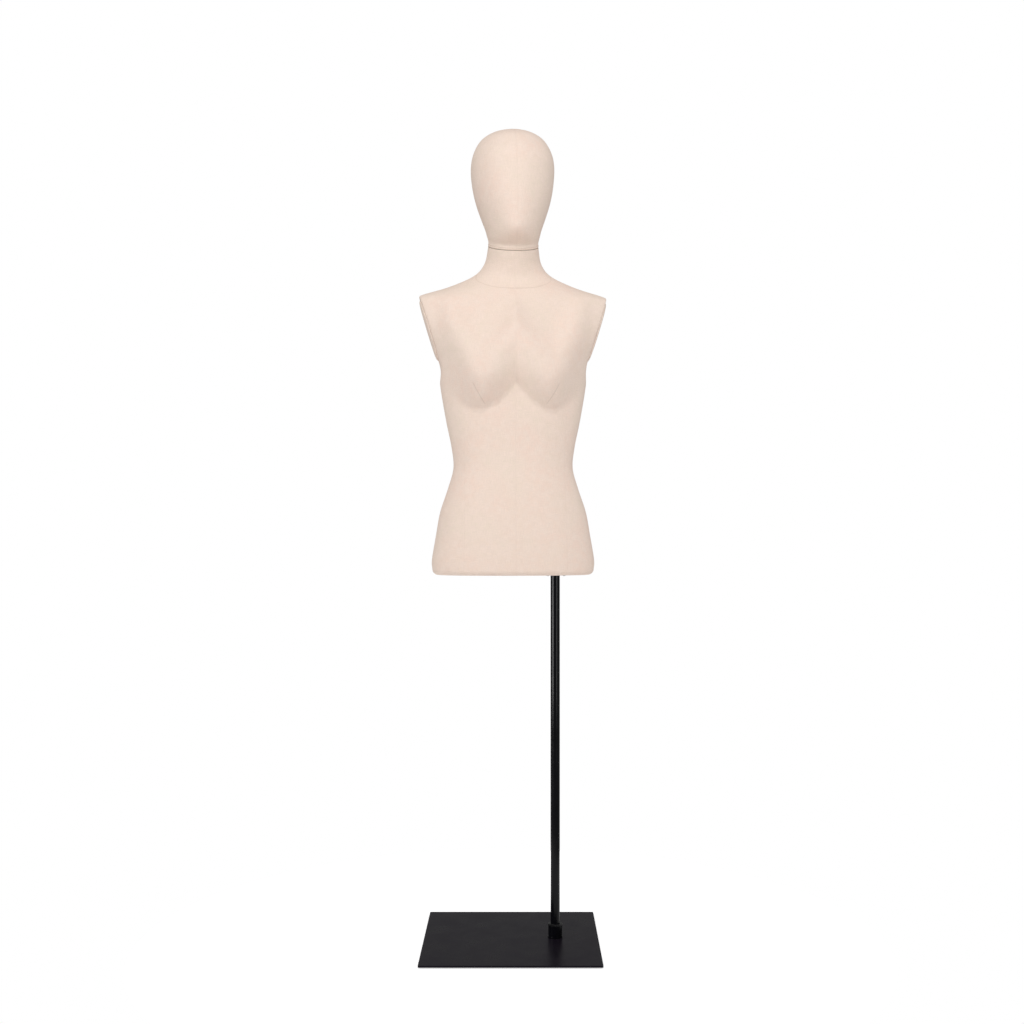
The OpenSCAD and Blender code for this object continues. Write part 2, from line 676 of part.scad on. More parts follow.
module cap_magnet() {
    color(steel_color) at_cap() tube(magnet_d, pivot_head_d + 2 * seat_fit, cap_board_t);
}

module pivot_bolt() {
    reach = neck_block_t + pivot_end;
    color(steel_color) at_cap() union() {
        cylinder(d = pivot_head_d, h = cap_board_t);
        translate([0, 0, -reach]) cylinder(d = pivot_d, h = reach + 1);
    }
}

module pivot_nut() {
    nut_t = 0.8 * pivot_d;
    color(steel_color) at_neck() translate([0, 0, -neck_block_t - cap_fit - nut_t]) difference() {
        cylinder(d = 1.9 * pivot_d, h = nut_t, $fn = 6);
        translate([0, 0, -PAST]) cylinder(d = pivot_d, h = nut_t + 2 * PAST);
    }
}

// ---- Head ----

module head_shell(first, last) {
    outer = head_rings(shell_out);
    inner = head_rings(shell_in);
    color(shell_color) at_head() wall(part_of(outer, first, last), part_of(inner, first, last), false);
}

module head_shell_front() {
    head_shell(HEAD_SIDES / 2, HEAD_SIDES);
}

module head_shell_back() {
    head_shell(0, HEAD_SIDES / 2);
}

module head_cover() {
    color(cloth_color) at_head() crowned_wall(head_rings(0), head_rings(shell_out));
}

module at_head_foot() {
    at_neck() translate([0, 0, head_foot]) rotate([0, 0, head_turn]) children();
}

module head_plug() {
    color(wood_color) at_head_foot() difference() {
        translate([0, 0, cloth_t]) linear_extrude(head_plug_t) neck_outline(shell_in + 2 * board_fit);
        translate([0, 0, cloth_t - PAST]) cylinder(d = magnet_d + 2 * seat_fit, h = head_magnet_t + PAST);
    }
}

module head_base_cloth() {
    color(cloth_color) at_head_foot() linear_extrude(cloth_t) neck_outline(shell_in + board_fit);
}

module head_magnet() {
    color(steel_color) at_head_foot() translate([0, 0, cloth_t]) cylinder(d = magnet_d, h = head_magnet_t);
}

base_plate();
base_feet();
base_bolt();
base_spigot();
pole_collar();
collar_bush();
collar_set_screw();
pole();
pole_top_plug();
torso_shell_front();
torso_shell_back();
torso_cover();
bottom_board();
bottom_cloth();
waist_brace();
pole_socket();
socket_stop();
socket_flange();
flange_screws();
arm_board(-1);  // arm_board_left
arm_board(1);  // arm_board_right
arm_cloth(-1);  // arm_cloth_left
arm_cloth(1);  // arm_cloth_right
neck_block();
cap_board();
cap_cloth();
cap_magnet();
pivot_bolt();
pivot_nut();
head_shell_front();
head_shell_back();
head_cover();
head_plug();
head_base_cloth();
head_magnet();
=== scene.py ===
"""Looks of the display bust form: cloth-covered torso and head on a black stand.

Sizes are in millimetres in the form's own frame, as in the CAD source. form_to_world() and
head_to_world() place them in the shared frame, in metres.
"""

import json
import math

import bpy
import numpy as np
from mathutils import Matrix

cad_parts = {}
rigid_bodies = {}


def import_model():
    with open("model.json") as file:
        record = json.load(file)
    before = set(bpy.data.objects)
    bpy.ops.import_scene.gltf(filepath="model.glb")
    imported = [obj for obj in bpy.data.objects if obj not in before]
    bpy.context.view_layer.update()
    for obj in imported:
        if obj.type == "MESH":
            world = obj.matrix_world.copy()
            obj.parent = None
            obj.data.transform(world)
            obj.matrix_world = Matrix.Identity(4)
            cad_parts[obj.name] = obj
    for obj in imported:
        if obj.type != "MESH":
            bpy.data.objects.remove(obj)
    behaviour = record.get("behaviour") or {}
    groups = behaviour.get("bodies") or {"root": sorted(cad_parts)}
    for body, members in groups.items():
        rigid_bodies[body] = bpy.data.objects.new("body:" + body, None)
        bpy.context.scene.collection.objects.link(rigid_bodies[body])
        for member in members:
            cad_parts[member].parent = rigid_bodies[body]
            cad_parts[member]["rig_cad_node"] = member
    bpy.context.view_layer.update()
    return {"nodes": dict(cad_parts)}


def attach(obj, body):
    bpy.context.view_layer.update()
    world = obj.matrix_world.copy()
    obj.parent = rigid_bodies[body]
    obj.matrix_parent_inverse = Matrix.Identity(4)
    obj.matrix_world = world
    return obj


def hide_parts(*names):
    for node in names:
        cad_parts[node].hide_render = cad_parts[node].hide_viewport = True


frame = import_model()
scene = bpy.context.scene

# ---- Camera ----

camera_data = bpy.data.cameras.new("camera")
camera = bpy.data.objects.new("camera", camera_data)
scene.collection.objects.link(camera)
scene.camera = camera
camera.location = (0.0179, -2.8185, 0.879)
camera.rotation_euler = (math.radians(90), 0, 0)
camera_data.sensor_width = 36
camera_data.lens = 45.88
camera_data.shift_x = -0.0073
camera_data.shift_y = 0.0203

# ---- Sizes, as in the CAD source ----

POLE_X, FORM_POLE, FORM_Z, FORM_TURN = 95, 91, 789, 4
FORM_H, NECK_H, EDGE_R = 594, 111, 12
HIP, HIP_DEPTH, WAIST, WAIST_DEPTH = 349 / 2, 215, 257 / 2, 152
CHEST, CHEST_DEPTH, SHOULDER, ARM_LEAN = 327 / 2, 189, 402 / 2, 17
NECK, NECK_DEPTH, NECK_LEAN, NECK_MID = 108 / 2, 111, 20, -6
BUST_W, BUST_H, BUST_OUT, BUST_LOW, CLEFT_R = 160, 404, 42, 56, 14
HEAD_H, SKULL, HEAD_DEPTH, HEAD_TURN = 247, 179 / 2, 198, 2
CLOTH_T, SHELL_T, CAP_BOARD_T, CAP_FIT = 1.2, 3, 2.8, 0.1
SHELL_CLEAR = 1.2  # how far the torso shells' faces lie inside the cover's, clear of its folds
ARM_BOARD_T, ARM_PLATE_H, ARM_PLATE_W = 3, 134, 86
ARM_FOOT, ARM_SOFT, ARM_EASE, ARM_EASE_H = 0.765 * FORM_H, 5, 10, 36
NECK_TOP = FORM_H + NECK_H
CAP_T = CAP_BOARD_T + CLOTH_T
FLANGE_D = 74
HEAD_FOOT = CAP_T + 2 * CAP_FIT

# Sections from the bottom up: height, half width, depth in front, depth behind, place of the
# middle along Y, forward lean in degrees and squareness
TORSO = np.array([
    [EDGE_R, 0.995 * HIP, 0.43 * HIP_DEPTH, 0.545 * HIP_DEPTH, 0, 0, 2.4],
    [0.055 * FORM_H, HIP, 0.435 * HIP_DEPTH, 0.563 * HIP_DEPTH, 0, 0, 2.4],
    [0.14 * FORM_H, 0.952 * HIP, 0.435 * HIP_DEPTH, 0.56 * HIP_DEPTH, 0, 0, 2.35],
    [0.226 * FORM_H, 0.899 * HIP, 0.417 * HIP_DEPTH, 0.49 * HIP_DEPTH, 0, 0, 2.3],
    [0.312 * FORM_H, 1.09 * WAIST, 0.55 * WAIST_DEPTH, 0.56 * WAIST_DEPTH, 0, 0, 2.25],
    [0.386 * FORM_H, WAIST, 0.515 * WAIST_DEPTH, 0.485 * WAIST_DEPTH, 0, 0, 2.2],
    [0.46 * FORM_H, 1.031 * WAIST, 0.51 * WAIST_DEPTH, 0.485 * WAIST_DEPTH, 0, 0, 2.2],
    [0.546 * FORM_H, 1.113 * WAIST, 0.53 * WAIST_DEPTH, 0.54 * WAIST_DEPTH, 0, 0, 2.2],
    [0.634 * FORM_H, 0.932 * CHEST, 0.445 * CHEST_DEPTH, 0.495 * CHEST_DEPTH, 0, 0, 2.2],
    [0.71 * FORM_H, 0.975 * CHEST, 0.465 * CHEST_DEPTH, 0.535 * CHEST_DEPTH, 0, 0, 2.2],
    [0.772 * FORM_H, 1.018 * CHEST, 0.465 * CHEST_DEPTH, 0.56 * CHEST_DEPTH, 0, 0, 2.2],
    [0.805 * FORM_H, 0.873 * SHOULDER, 0.46 * CHEST_DEPTH, 0.565 * CHEST_DEPTH, 0, 0, 2.2],
    [0.845 * FORM_H, 0.945 * SHOULDER, 0.445 * CHEST_DEPTH, 0.56 * CHEST_DEPTH, 1, 0, 2.2],
    [0.9 * FORM_H, 1.045 * SHOULDER, 0.415 * CHEST_DEPTH, 0.545 * CHEST_DEPTH, 2, 0, 2.2],
    [0.956 * FORM_H, 1.1 * SHOULDER, 0.378 * CHEST_DEPTH, 0.505 * CHEST_DEPTH, 4, 0, 2.15],
    [0.985 * FORM_H, 1.09 * SHOULDER, 0.358 * CHEST_DEPTH, 0.468 * CHEST_DEPTH, 5, 1, 2.05],
    [FORM_H, 1.05 * SHOULDER, 0.35 * CHEST_DEPTH, 0.44 * CHEST_DEPTH, 6, 2, 1.95],
    [FORM_H + 0.08 * NECK_H, 0.943 * SHOULDER, 0.34 * CHEST_DEPTH, 0.412 * CHEST_DEPTH, 7, 3, 1.85],
    [FORM_H + 0.19 * NECK_H, 0.742 * SHOULDER, 0.56 * NECK_DEPTH, 0.655 * NECK_DEPTH, 8, 5, 1.8],
    [FORM_H + 0.3 * NECK_H, 2.18 * NECK, 0.515 * NECK_DEPTH, 0.585 * NECK_DEPTH, 9, 8, 1.85],
    [FORM_H + 0.41 * NECK_H, 1.69 * NECK, 0.496 * NECK_DEPTH, 0.53 * NECK_DEPTH, 9, 11, 1.9],
    [FORM_H + 0.52 * NECK_H, 1.37 * NECK, 0.487 * NECK_DEPTH, 0.496 * NECK_DEPTH, 8, 14, 2],
    [FORM_H + 0.64 * NECK_H, 1.18 * NECK, 0.487 * NECK_DEPTH, 0.486 * NECK_DEPTH, 5, 16.5, 2],
    [FORM_H + 0.76 * NECK_H, 1.08 * NECK, 0.496 * NECK_DEPTH, 0.486 * NECK_DEPTH, 2, 18.5, 2],
    [FORM_H + 0.88 * NECK_H, 1.035 * NECK, 0.505 * NECK_DEPTH, 0.486 * NECK_DEPTH, -2, 19.5, 2],
    [NECK_TOP, NECK, 0.514 * NECK_DEPTH, 0.486 * NECK_DEPTH, NECK_MID, NECK_LEAN, 2],
])
SIN_LEAN = math.sin(math.radians(NECK_LEAN))
COS_LEAN = math.cos(math.radians(NECK_LEAN))
HEAD = np.array([
    [HEAD_FOOT * COS_LEAN, 0.995 * NECK, 0.514 * NECK_DEPTH, 0.486 * NECK_DEPTH,
     NECK_MID - HEAD_FOOT * SIN_LEAN, NECK_LEAN, 2],
    [0.04 * HEAD_H, 0.995 * NECK, 0.525 * NECK_DEPTH, 0.486 * NECK_DEPTH, -8, 18.5, 2],
    [0.08 * HEAD_H, 1.044 * NECK, 0.66 * NECK_DEPTH, 0.503 * NECK_DEPTH, -9, 14, 1.95],
    [0.13 * HEAD_H, 0.668 * SKULL, 0.435 * HEAD_DEPTH, 0.305 * HEAD_DEPTH, -10, 9, 1.85],
    [0.19 * HEAD_H, 0.728 * SKULL, 0.462 * HEAD_DEPTH, 0.35 * HEAD_DEPTH, -10, 6, 1.85],
    [0.27 * HEAD_H, 0.806 * SKULL, 0.478 * HEAD_DEPTH, 0.4 * HEAD_DEPTH, -10, 4, 1.9],
    [0.36 * HEAD_H, 0.884 * SKULL, 0.488 * HEAD_DEPTH, 0.444 * HEAD_DEPTH, -10, 2, 1.95],
    [0.46 * HEAD_H, 0.947 * SKULL, 0.493 * HEAD_DEPTH, 0.478 * HEAD_DEPTH, -9, 1, 2],
    [0.56 * HEAD_H, 0.985 * SKULL, 0.493 * HEAD_DEPTH, 0.5 * HEAD_DEPTH, -8, 0, 2.05],
    [0.66 * HEAD_H, SKULL, 0.487 * HEAD_DEPTH, 0.505 * HEAD_DEPTH, -8, 0, 2.1],
    [0.75 * HEAD_H, 0.972 * SKULL, 0.468 * HEAD_DEPTH, 0.488 * HEAD_DEPTH, -8, 0, 2.1],
    [0.83 * HEAD_H, 0.897 * SKULL, 0.427 * HEAD_DEPTH, 0.45 * HEAD_DEPTH, -7, 0, 2.05],
    [0.9 * HEAD_H, 0.775 * SKULL, 0.367 * HEAD_DEPTH, 0.39 * HEAD_DEPTH, -7, 0, 2],
    [0.95 * HEAD_H, 0.6 * SKULL, 0.283 * HEAD_DEPTH, 0.303 * HEAD_DEPTH, -6, 0, 2],
    [0.98 * HEAD_H, 0.4 * SKULL, 0.19 * HEAD_DEPTH, 0.202 * HEAD_DEPTH, -6, 0, 2],
    [0.995 * HEAD_H, 0.2 * SKULL, 0.095 * HEAD_DEPTH, 0.1 * HEAD_DEPTH, -6, 0, 2],
    [HEAD_H, 0.05 * SKULL, 0.024 * HEAD_DEPTH, 0.024 * HEAD_DEPTH, -6, 0, 2],
])

# ---- The form's surface ----


def along(rows, u):
    """Smooth values of the sections at places u, an array of any shape."""
    last = len(rows) - 1
    i = np.clip(np.floor(u).astype(int), 0, last - 1)
    f = (u - i)[..., None]
    before, here = rows[np.maximum(i - 1, 0)], rows[i]
    after, later = rows[i + 1], rows[np.minimum(i + 2, last)]
    return (here + f * (after - before) / 2
            + f**2 * (before - 2.5 * here + 2 * after - later / 2)
            + f**3 * (1.5 * (here - after) + (later - before) / 2))


def bust(x, h):
    """How far the bust stands out at a place on the chest.

    Its lower edge is an arc under each side. From there the surface bulges out over rise, then
    sinks back slowly towards the neckline."""
    across = np.sqrt(x**2 + CLEFT_R**2) - BUST_W / 2
    outside = np.maximum(0, across)
    reach = np.where(across < 0, BUST_W / 2 - CLEFT_R, 0.46 * BUST_W)
    sag = np.maximum(0, 1 - (across / reach)**2)**np.where(across < 0, 0.75, 1.5)
    over, soft = h - BUST_H + BUST_LOW * sag, 3 + 0.15 * outside
    above = np.where(over > soft, over, np.maximum(0, over + soft)**2 / (4 * soft))
    rise = 1.25 * BUST_LOW + 0.5 * outside
    up = 1 - np.maximum(0, 1 - above / rise)**1.7
    back = np.maximum(0, 1 - (np.maximum(0, above - rise) / (0.22 * FORM_H))**2)**2
    valley = 0.2 * (1 - np.cos(2 * math.pi * across / BUST_W))
    valley = valley * np.maximum(0, 1 - np.maximum(0, above - rise) / 60)
    outer = np.maximum(0, 1 - (across / (0.55 * BUST_W))**2)**1.5
    return BUST_OUT * up * back * np.where(across < 0, 1 - valley, outer)


def soft_min(v, limit):
    """The smaller of two sizes, rounded over where they meet."""
    bent = v - (v - limit + ARM_SOFT)**2 / (4 * ARM_SOFT)
    return np.where(v < limit - ARM_SOFT, v, np.where(v > limit + ARM_SOFT, limit, bent))


def arm_limit(h):
    """Half width of the arm faces' leaning plane, which lets go softly below its foot."""
    edge = SHOULDER - (FORM_H - h) * math.tan(math.radians(ARM_LEAN))
    return edge + ARM_EASE * np.maximum(0, (ARM_FOOT - h) / ARM_EASE_H)**2


def ring(s, a, torso, inset=0.0):
    """Points of sections s at angles a in radians; torso adds the arm faces and the bust."""
    c, d, p, lean = np.cos(a), np.sin(a), 2 / s[..., 6], np.radians(s[..., 5])
    x = s[..., 1] * np.abs(c)**p
    y = np.where(d < 0, -s[..., 2], s[..., 3]) * np.abs(d)**p
    if torso:
        x = soft_min(x, arm_limit(s[..., 0] + y * np.sin(lean)) - inset)
    x = np.where(c < 0, -x, x)
    if torso:
        y = np.where(d < 0, y - bust(x, s[..., 0]) * np.sqrt(np.abs(d)), y)
    return np.stack([x, s[..., 4] + y * np.cos(lean), s[..., 0] + y * np.sin(lean)], -1)


def section(rows, u, inset=0.0):
    """Sections at places u, shrunk inwards and, where the form narrows upwards, downwards."""
    s = along(rows, u)
    if inset:
        step = 0.05
        below, above = along(rows, np.maximum(u - step, 0)), along(rows, np.minimum(u + step, len(rows) - 1))
        rise, out = above[..., 0] - below[..., 0], above[..., 1] - below[..., 1]
        up = np.maximum(0, -out / np.hypot(rise, out) - 0.3) / 0.7
        s[..., 0] -= inset * up
        s[..., 1] -= inset * np.sqrt(1 - up**2)
        s[..., 2:4] -= (inset * (1 - 0.4 * up))[..., None]
    return s


def surface(rows, u, a, torso, inset=0.0):
    return ring(section(rows, u, inset), a, torso, inset)


def place_of(rows, h):
    """Places along the sections that have the heights h."""
    u = np.linspace(0, len(rows) - 1, 4000)
    return np.interp(h, along(rows, u)[:, 0], u)


def edge_section(angle, inset=0.0):
    """Sections round the form's bottom edge, from 0 underneath to 90 degrees at the side."""
    angle = np.radians(angle)
    r = EDGE_R - inset
    s = np.repeat(TORSO[0][None], len(angle), 0)
    s[:, 0] = inset + r * (1 - np.cos(angle))
    s[:, 1:4] -= (inset + r * (1 - np.sin(angle)))[:, None]
    return s


# ---- Placing ----


def turned(p, degrees, axis, at=(0, 0, 0)):
    """Points p turned about an axis through the point at."""
    k = np.array(axis) / np.linalg.norm(axis)
    t, v = math.radians(degrees), p - at
    cross = np.cross(np.broadcast_to(k, v.shape), v)
    return v * math.cos(t) + cross * math.sin(t) + k * (v @ k)[..., None] * (1 - math.cos(t)) + at


def form_to_world(p):
    p = turned(p - (FORM_POLE, 0, 0), FORM_TURN, (0, 0, 1))
    return (p + (POLE_X, 0, FORM_Z)) / 1000


NECK_POINT = (0, NECK_MID, NECK_TOP)
NECK_AXIS = (0, -SIN_LEAN, COS_LEAN)


def head_to_world(p):
    return form_to_world(turned(p, HEAD_TURN, NECK_AXIS, NECK_POINT))


def neck_to_form(p):
    """From the leaning neck's frame, whose origin is the middle of the neck's top."""
    return turned(p, NECK_LEAN, (1, 0, 0)) + NECK_POINT


# ---- Meshes ----


def make_mesh(name, points, faces, attributes=None):
    mesh = bpy.data.meshes.new(name)
    mesh.from_pydata(points.tolist(), [], [list(map(int, f)) for f in faces])
    mesh.validate()
    for key, values in (attributes or {}).items():
        kind = "FLOAT" if np.ndim(values) == 1 else "FLOAT_VECTOR"
        layer = mesh.attributes.new(key, kind, "POINT")
        field = "value" if kind == "FLOAT" else "vector"
        layer.data.foreach_set(field, np.asarray(values, np.float32).ravel())
    mesh.polygons.foreach_set("use_smooth", [True] * len(mesh.polygons))
    mesh.update()
    obj = bpy.data.objects.new(name, mesh)
    scene.collection.objects.link(obj)
    return obj


def grid_faces(rows, cols, start=0, closed=True, flip=False):
    """Quads of a grid of points, row by row; closed joins the last column to the first."""
    i, k = np.meshgrid(np.arange(rows - 1), np.arange(cols if closed else cols - 1), indexing="ij")
    a = i * cols + k
    b = i * cols + (k + 1) % cols
    quads = np.stack([a, b, b + cols, a + cols], -1).reshape(-1, 4) + start
    return quads[:, ::-1] if flip else quads


def strip_faces(a, b, closed=True):
    """Quads between two lists of point numbers of equal length."""
    n = len(a)
    return [[a[k], a[(k + 1) % n], b[(k + 1) % n], b[k]] for k in range(n if closed else n - 1)]


def fan_faces(ring_points, tip, flip=False):
    """Triangles from a closed ring of point numbers to one point."""
    after = np.roll(ring_points, -1)
    return [[n, k, tip] if flip else [k, n, tip] for k, n in zip(ring_points, after)]


def angles_round(count):
    return np.linspace(0, 2 * math.pi, count, endpoint=False)


# ---- Where the seams run ----

FAR = 99.0  # distance in mm that stands for no seam nearby
NEAR = np.array([0.45, 0.9, 1.5, 2.4, 4.0, 7.0])  # distances in mm of the grid lines beside a seam
NEAR_EDGE = np.array([1.2, 2.6, 4.5])  # the same beside the arm face's edge
# Heights and distances from the middle of the straight seams
FRONT_SEAM_H = [0, 60, 130, 200, 240, 300, 370, 460, 705]
FRONT_SEAM_X = [109, 108, 107, 106, 106, 107, 110, 106, 60]
BACK_SEAM_H = [0, 80, 160, 235, 330, 450, 705]
BACK_SEAM_X = [92, 90, 80, 70, 82, 92, 50]
# The neckline's height in front, where it starts, its slope and how far back it rises
NECKLINE_H, NECKLINE_Y, NECKLINE_SLOPE, NECKLINE_BACK_Y = 602, -62, 0.7, 4


def smooth_step(lo, hi, v):
    t = np.clip((v - lo) / (hi - lo), 0, 1)
    return t * t * (3 - 2 * t)


def angle_at_x(s, x):
    """Angle from the side at which a section reaches half width x."""
    return np.arccos(np.clip(np.abs(x) / s[..., 1], 0, 1)**(s[..., 6] / 2))


def seam_line(h, heights, widths):
    """A seam's distance from the middle at heights h, its corners eased over 80 mm."""
    return np.mean([np.interp(h + d, heights, widths) for d in range(-40, 41, 10)], axis=0)


def seam_angles(u):
    """Angles from the side of the front seam, the back seam and the arm face's edge at places u."""
    s = along(TORSO, u)
    widest = s[..., 1] * 0.985
    front = angle_at_x(s, np.minimum(seam_line(s[..., 0], FRONT_SEAM_H, FRONT_SEAM_X), 0.84 * widest))
    back = angle_at_x(s, np.minimum(seam_line(s[..., 0], BACK_SEAM_H, BACK_SEAM_X), 0.66 * widest))
    edge = angle_at_x(s, arm_limit(np.maximum(s[..., 0], ARM_FOOT + 1)))
    edge = np.clip(edge, math.radians(9), math.radians(33))
    return front, back, edge


def neckline_place(a):
    """Place along the sections where the tilted neckline crosses each angle, by halving."""
    lo, hi = np.full(len(a), 14.0), np.full(len(a), 24.6)
    for _ in range(40):
        mid = (lo + hi) / 2
        p = surface(TORSO, mid, a, True)
        above = p[:, 2] > NECKLINE_H + NECKLINE_SLOPE * (np.minimum(p[:, 1], NECKLINE_BACK_Y) - NECKLINE_Y)
        lo, hi = np.where(above, lo, mid), np.where(above, mid, hi)
    return (lo + hi) / 2


def columns_between(guides, shape, least, share):
    """Angles of a closed grid's columns, with each column's seam and distance from it.

    guides are the seams' angles, names and steps to the next one; shape gives points of the
    surface at an angle, least its smallest radius that counts, and share is the part of a panel
    that the lines beside a seam may take up."""
    step, widths = 1e-4, []
    for angle, _, _ in guides:
        across = np.linalg.norm(shape(angle + step) - shape(angle - step), axis=-1)
        widths.append(np.maximum(across / (2 * step), least))
    columns = []
    for g, (angle, seam, steps) in enumerate(guides):
        n = (g + 1) % len(guides)
        after, next_seam = guides[n][0] + (0 if n else 2 * math.pi), guides[n][1]
        gap = after - angle
        near, near_after = (NEAR_EDGE if kind == "edge" else NEAR for kind in (seam, next_seam))
        left, right = near[:, None] / widths[g], near_after[::-1, None] / widths[n]
        # Where a panel is narrow its near lines close up, so that they never cross
        left = left * np.minimum(1, share * gap / left[-1])
        right = right * np.minimum(1, share * gap / right[0])
        columns.append((angle, seam, 0.0))
        columns += [(angle + shift, seam, d) for shift, d in zip(left, near)]
        columns += [(angle + left[-1] + t * (gap - left[-1] - right[0]), "", FAR)
                    for t in np.arange(1, steps) / steps]
        columns += [(after - shift, next_seam, d) for shift, d in zip(right, near_after[::-1])]
    angles, seams, off = zip(*columns)
    return np.stack(angles, -1), seams, np.array(off)


def torso_columns(u):
    """The torso's columns at places u, from the left side (a = 0) backwards round the form."""
    front, back, edge = seam_angles(u)
    full, half = 2 * math.pi, math.pi
    zero = np.zeros_like(u)
    # Steps between neighbouring seams
    to_edge, edge_front, front_centre, edge_back, back_centre = 9, 11, 24, 15, 13
    guides = [
        (zero, "side", to_edge), (edge, "edge", edge_back), (back, "back", back_centre),
        (half / 2 + zero, "middle", back_centre), (half - back, "back", edge_back),
        (half - edge, "edge", to_edge), (half + zero, "side", to_edge),
        (half + edge, "edge", edge_front), (half + front, "front", front_centre),
        (1.5 * half + zero, "middle", front_centre), (full - front, "front", edge_front),
        (full - edge, "edge", to_edge),
    ]
    return columns_between(guides, lambda a: surface(TORSO, u, a, True), 20, 0.4)


def torso_grid():
    """Places u and angles a of the torso's visible grid, and how far each point is from a seam."""
    row_h, low_top = 3.0, 548
    low = place_of(TORSO, np.arange(EDGE_R, low_top, row_h))
    below, above = 22, 26  # rows from there to the neckline and from it to the top
    guess, seam, off = torso_columns(np.full(1, 19.0))
    guess, n = guess[0], len(off)
    # Where the neckline crosses each column, whose angle in turn depends on that place
    for _ in range(4):
        line = neckline_place(guess)
        guess = np.diagonal(torso_columns(line)[0])
    step = 1e-3
    rate = np.linalg.norm(surface(TORSO, line + step, guess, True)
                          - surface(TORSO, line - step, guess, True), axis=-1) / (2 * step)
    near = NEAR[:, None] / rate
    start, top = low[-1], len(TORSO) - 1
    rows = [(np.full(n, v), FAR) for v in low]
    rows += [(start + t * (line - near[-1] - start), FAR) for t in np.arange(1, below) / below]
    rows += [(line - shift, d) for shift, d in zip(near[::-1], NEAR[::-1])]
    rows += [(line, 0.0)]
    rows += [(line + shift, d) for shift, d in zip(near, NEAR)]
    rows += [(line + near[-1] + t * (top - line - near[-1]), FAR) for t in np.arange(1, above + 1) / above]
    u = np.array([row[0] for row in rows])
    angle = np.concatenate([torso_columns(low)[0],
                            [np.diagonal(torso_columns(v)[0]) for v in u[len(low):]]])
    return u, angle, seam, off, np.array([row[1] for row in rows])


def groove(distance, depth, width):
    """How far a seam pulls the cloth in: a narrow valley between two low rolls."""
    d = distance / width
    return depth * np.exp(-d**2) - 0.35 * depth * np.exp(-((d - 2.2) / 0.9)**2)


def normals_of(grid):
    """Outward normals of a closed grid of points."""
    around = np.roll(grid, -1, 1) - np.roll(grid, 1, 1)
    up = np.gradient(grid, axis=0)
    n = np.cross(around, up)
    return n / np.maximum(np.linalg.norm(n, axis=-1, keepdims=True), 1e-9)


def line_distance(points, path):
    """Distance from points to a path on the chest, and how far along it the nearest place is.

    The distance is below 0 on the side nearer the form's middle."""
    best = np.full(points.shape[:-1], 1e9)
    where = np.zeros(points.shape[:-1])
    outside = np.abs(points[..., 0]) > np.interp(points[..., 2], path[:, 2], np.abs(path[:, 0]))
    lengths = np.linalg.norm(np.diff(path, axis=0), axis=1)
    total, done = lengths.sum(), 0.0
    for a, b, length in zip(path[:-1], path[1:], lengths):
        t = np.clip(((points - a) @ (b - a)) / length**2, 0, 1)
        d = np.linalg.norm(points - (a + t[..., None] * (b - a)), axis=-1)
        nearer = d < best
        best = np.where(nearer, d, best)
        where = np.where(nearer, (done + t * length) / total, where)
        done += length
    return np.where(outside, best, -best), where


def front_point(x, h):
    """Point of the chest's front surface at x and height h."""
    a = np.linspace(math.pi * 1.02, math.pi * 1.98, 3000)
    p = surface(TORSO, np.full(len(a), float(place_of(TORSO, h))), a, True)
    return p[np.argmin(np.abs(p[:, 0] - x))]


def dart_path(side):
    """The bust dart: from the crease under the bust outwards and up."""
    return np.array([front_point(side * x, h) for x, h in
                     ((62, 356), (70, 366), (79, 380), (88, 396), (97, 413))])


def out_of_neck(rim, middle):
    """Unit directions square to the leaning neck's axis, from its middle to each point of a rim."""
    axis, out = np.array(NECK_AXIS), rim - middle
    out = out - (out @ axis)[:, None] * axis
    return out / np.linalg.norm(out, axis=1, keepdims=True)


def cloth_coordinates(*grids):
    """Distance round and up the cloth in mm, from the middle of the front, for its weave."""
    made = []
    for g in grids:
        step = np.linalg.norm(np.roll(g, -1, 1) - g, axis=-1)
        round_mm = np.cumsum(step, 1) - step
        total = step.sum(1, keepdims=True)
        # The column at the middle of the front
        row = g[len(g) // 2]
        front = np.argmin(np.abs(row[:, 0]) + 1e3 * (row[:, 1] > row[:, 1].mean()))
        round_mm = round_mm - round_mm[:, front][:, None]
        round_mm = np.where(round_mm > total / 2, round_mm - total, round_mm)
        round_mm = np.where(round_mm < -total / 2, round_mm + total, round_mm)
        rise = np.linalg.norm(np.diff(g, axis=0), axis=-1).mean(1)
        up_mm = np.concatenate([[0], np.cumsum(rise)])
        up = np.broadcast_to(up_mm[:, None], round_mm.shape)
        made.append(np.stack([round_mm, up, np.zeros_like(up)], -1).reshape(-1, 3))
    return np.concatenate(made)


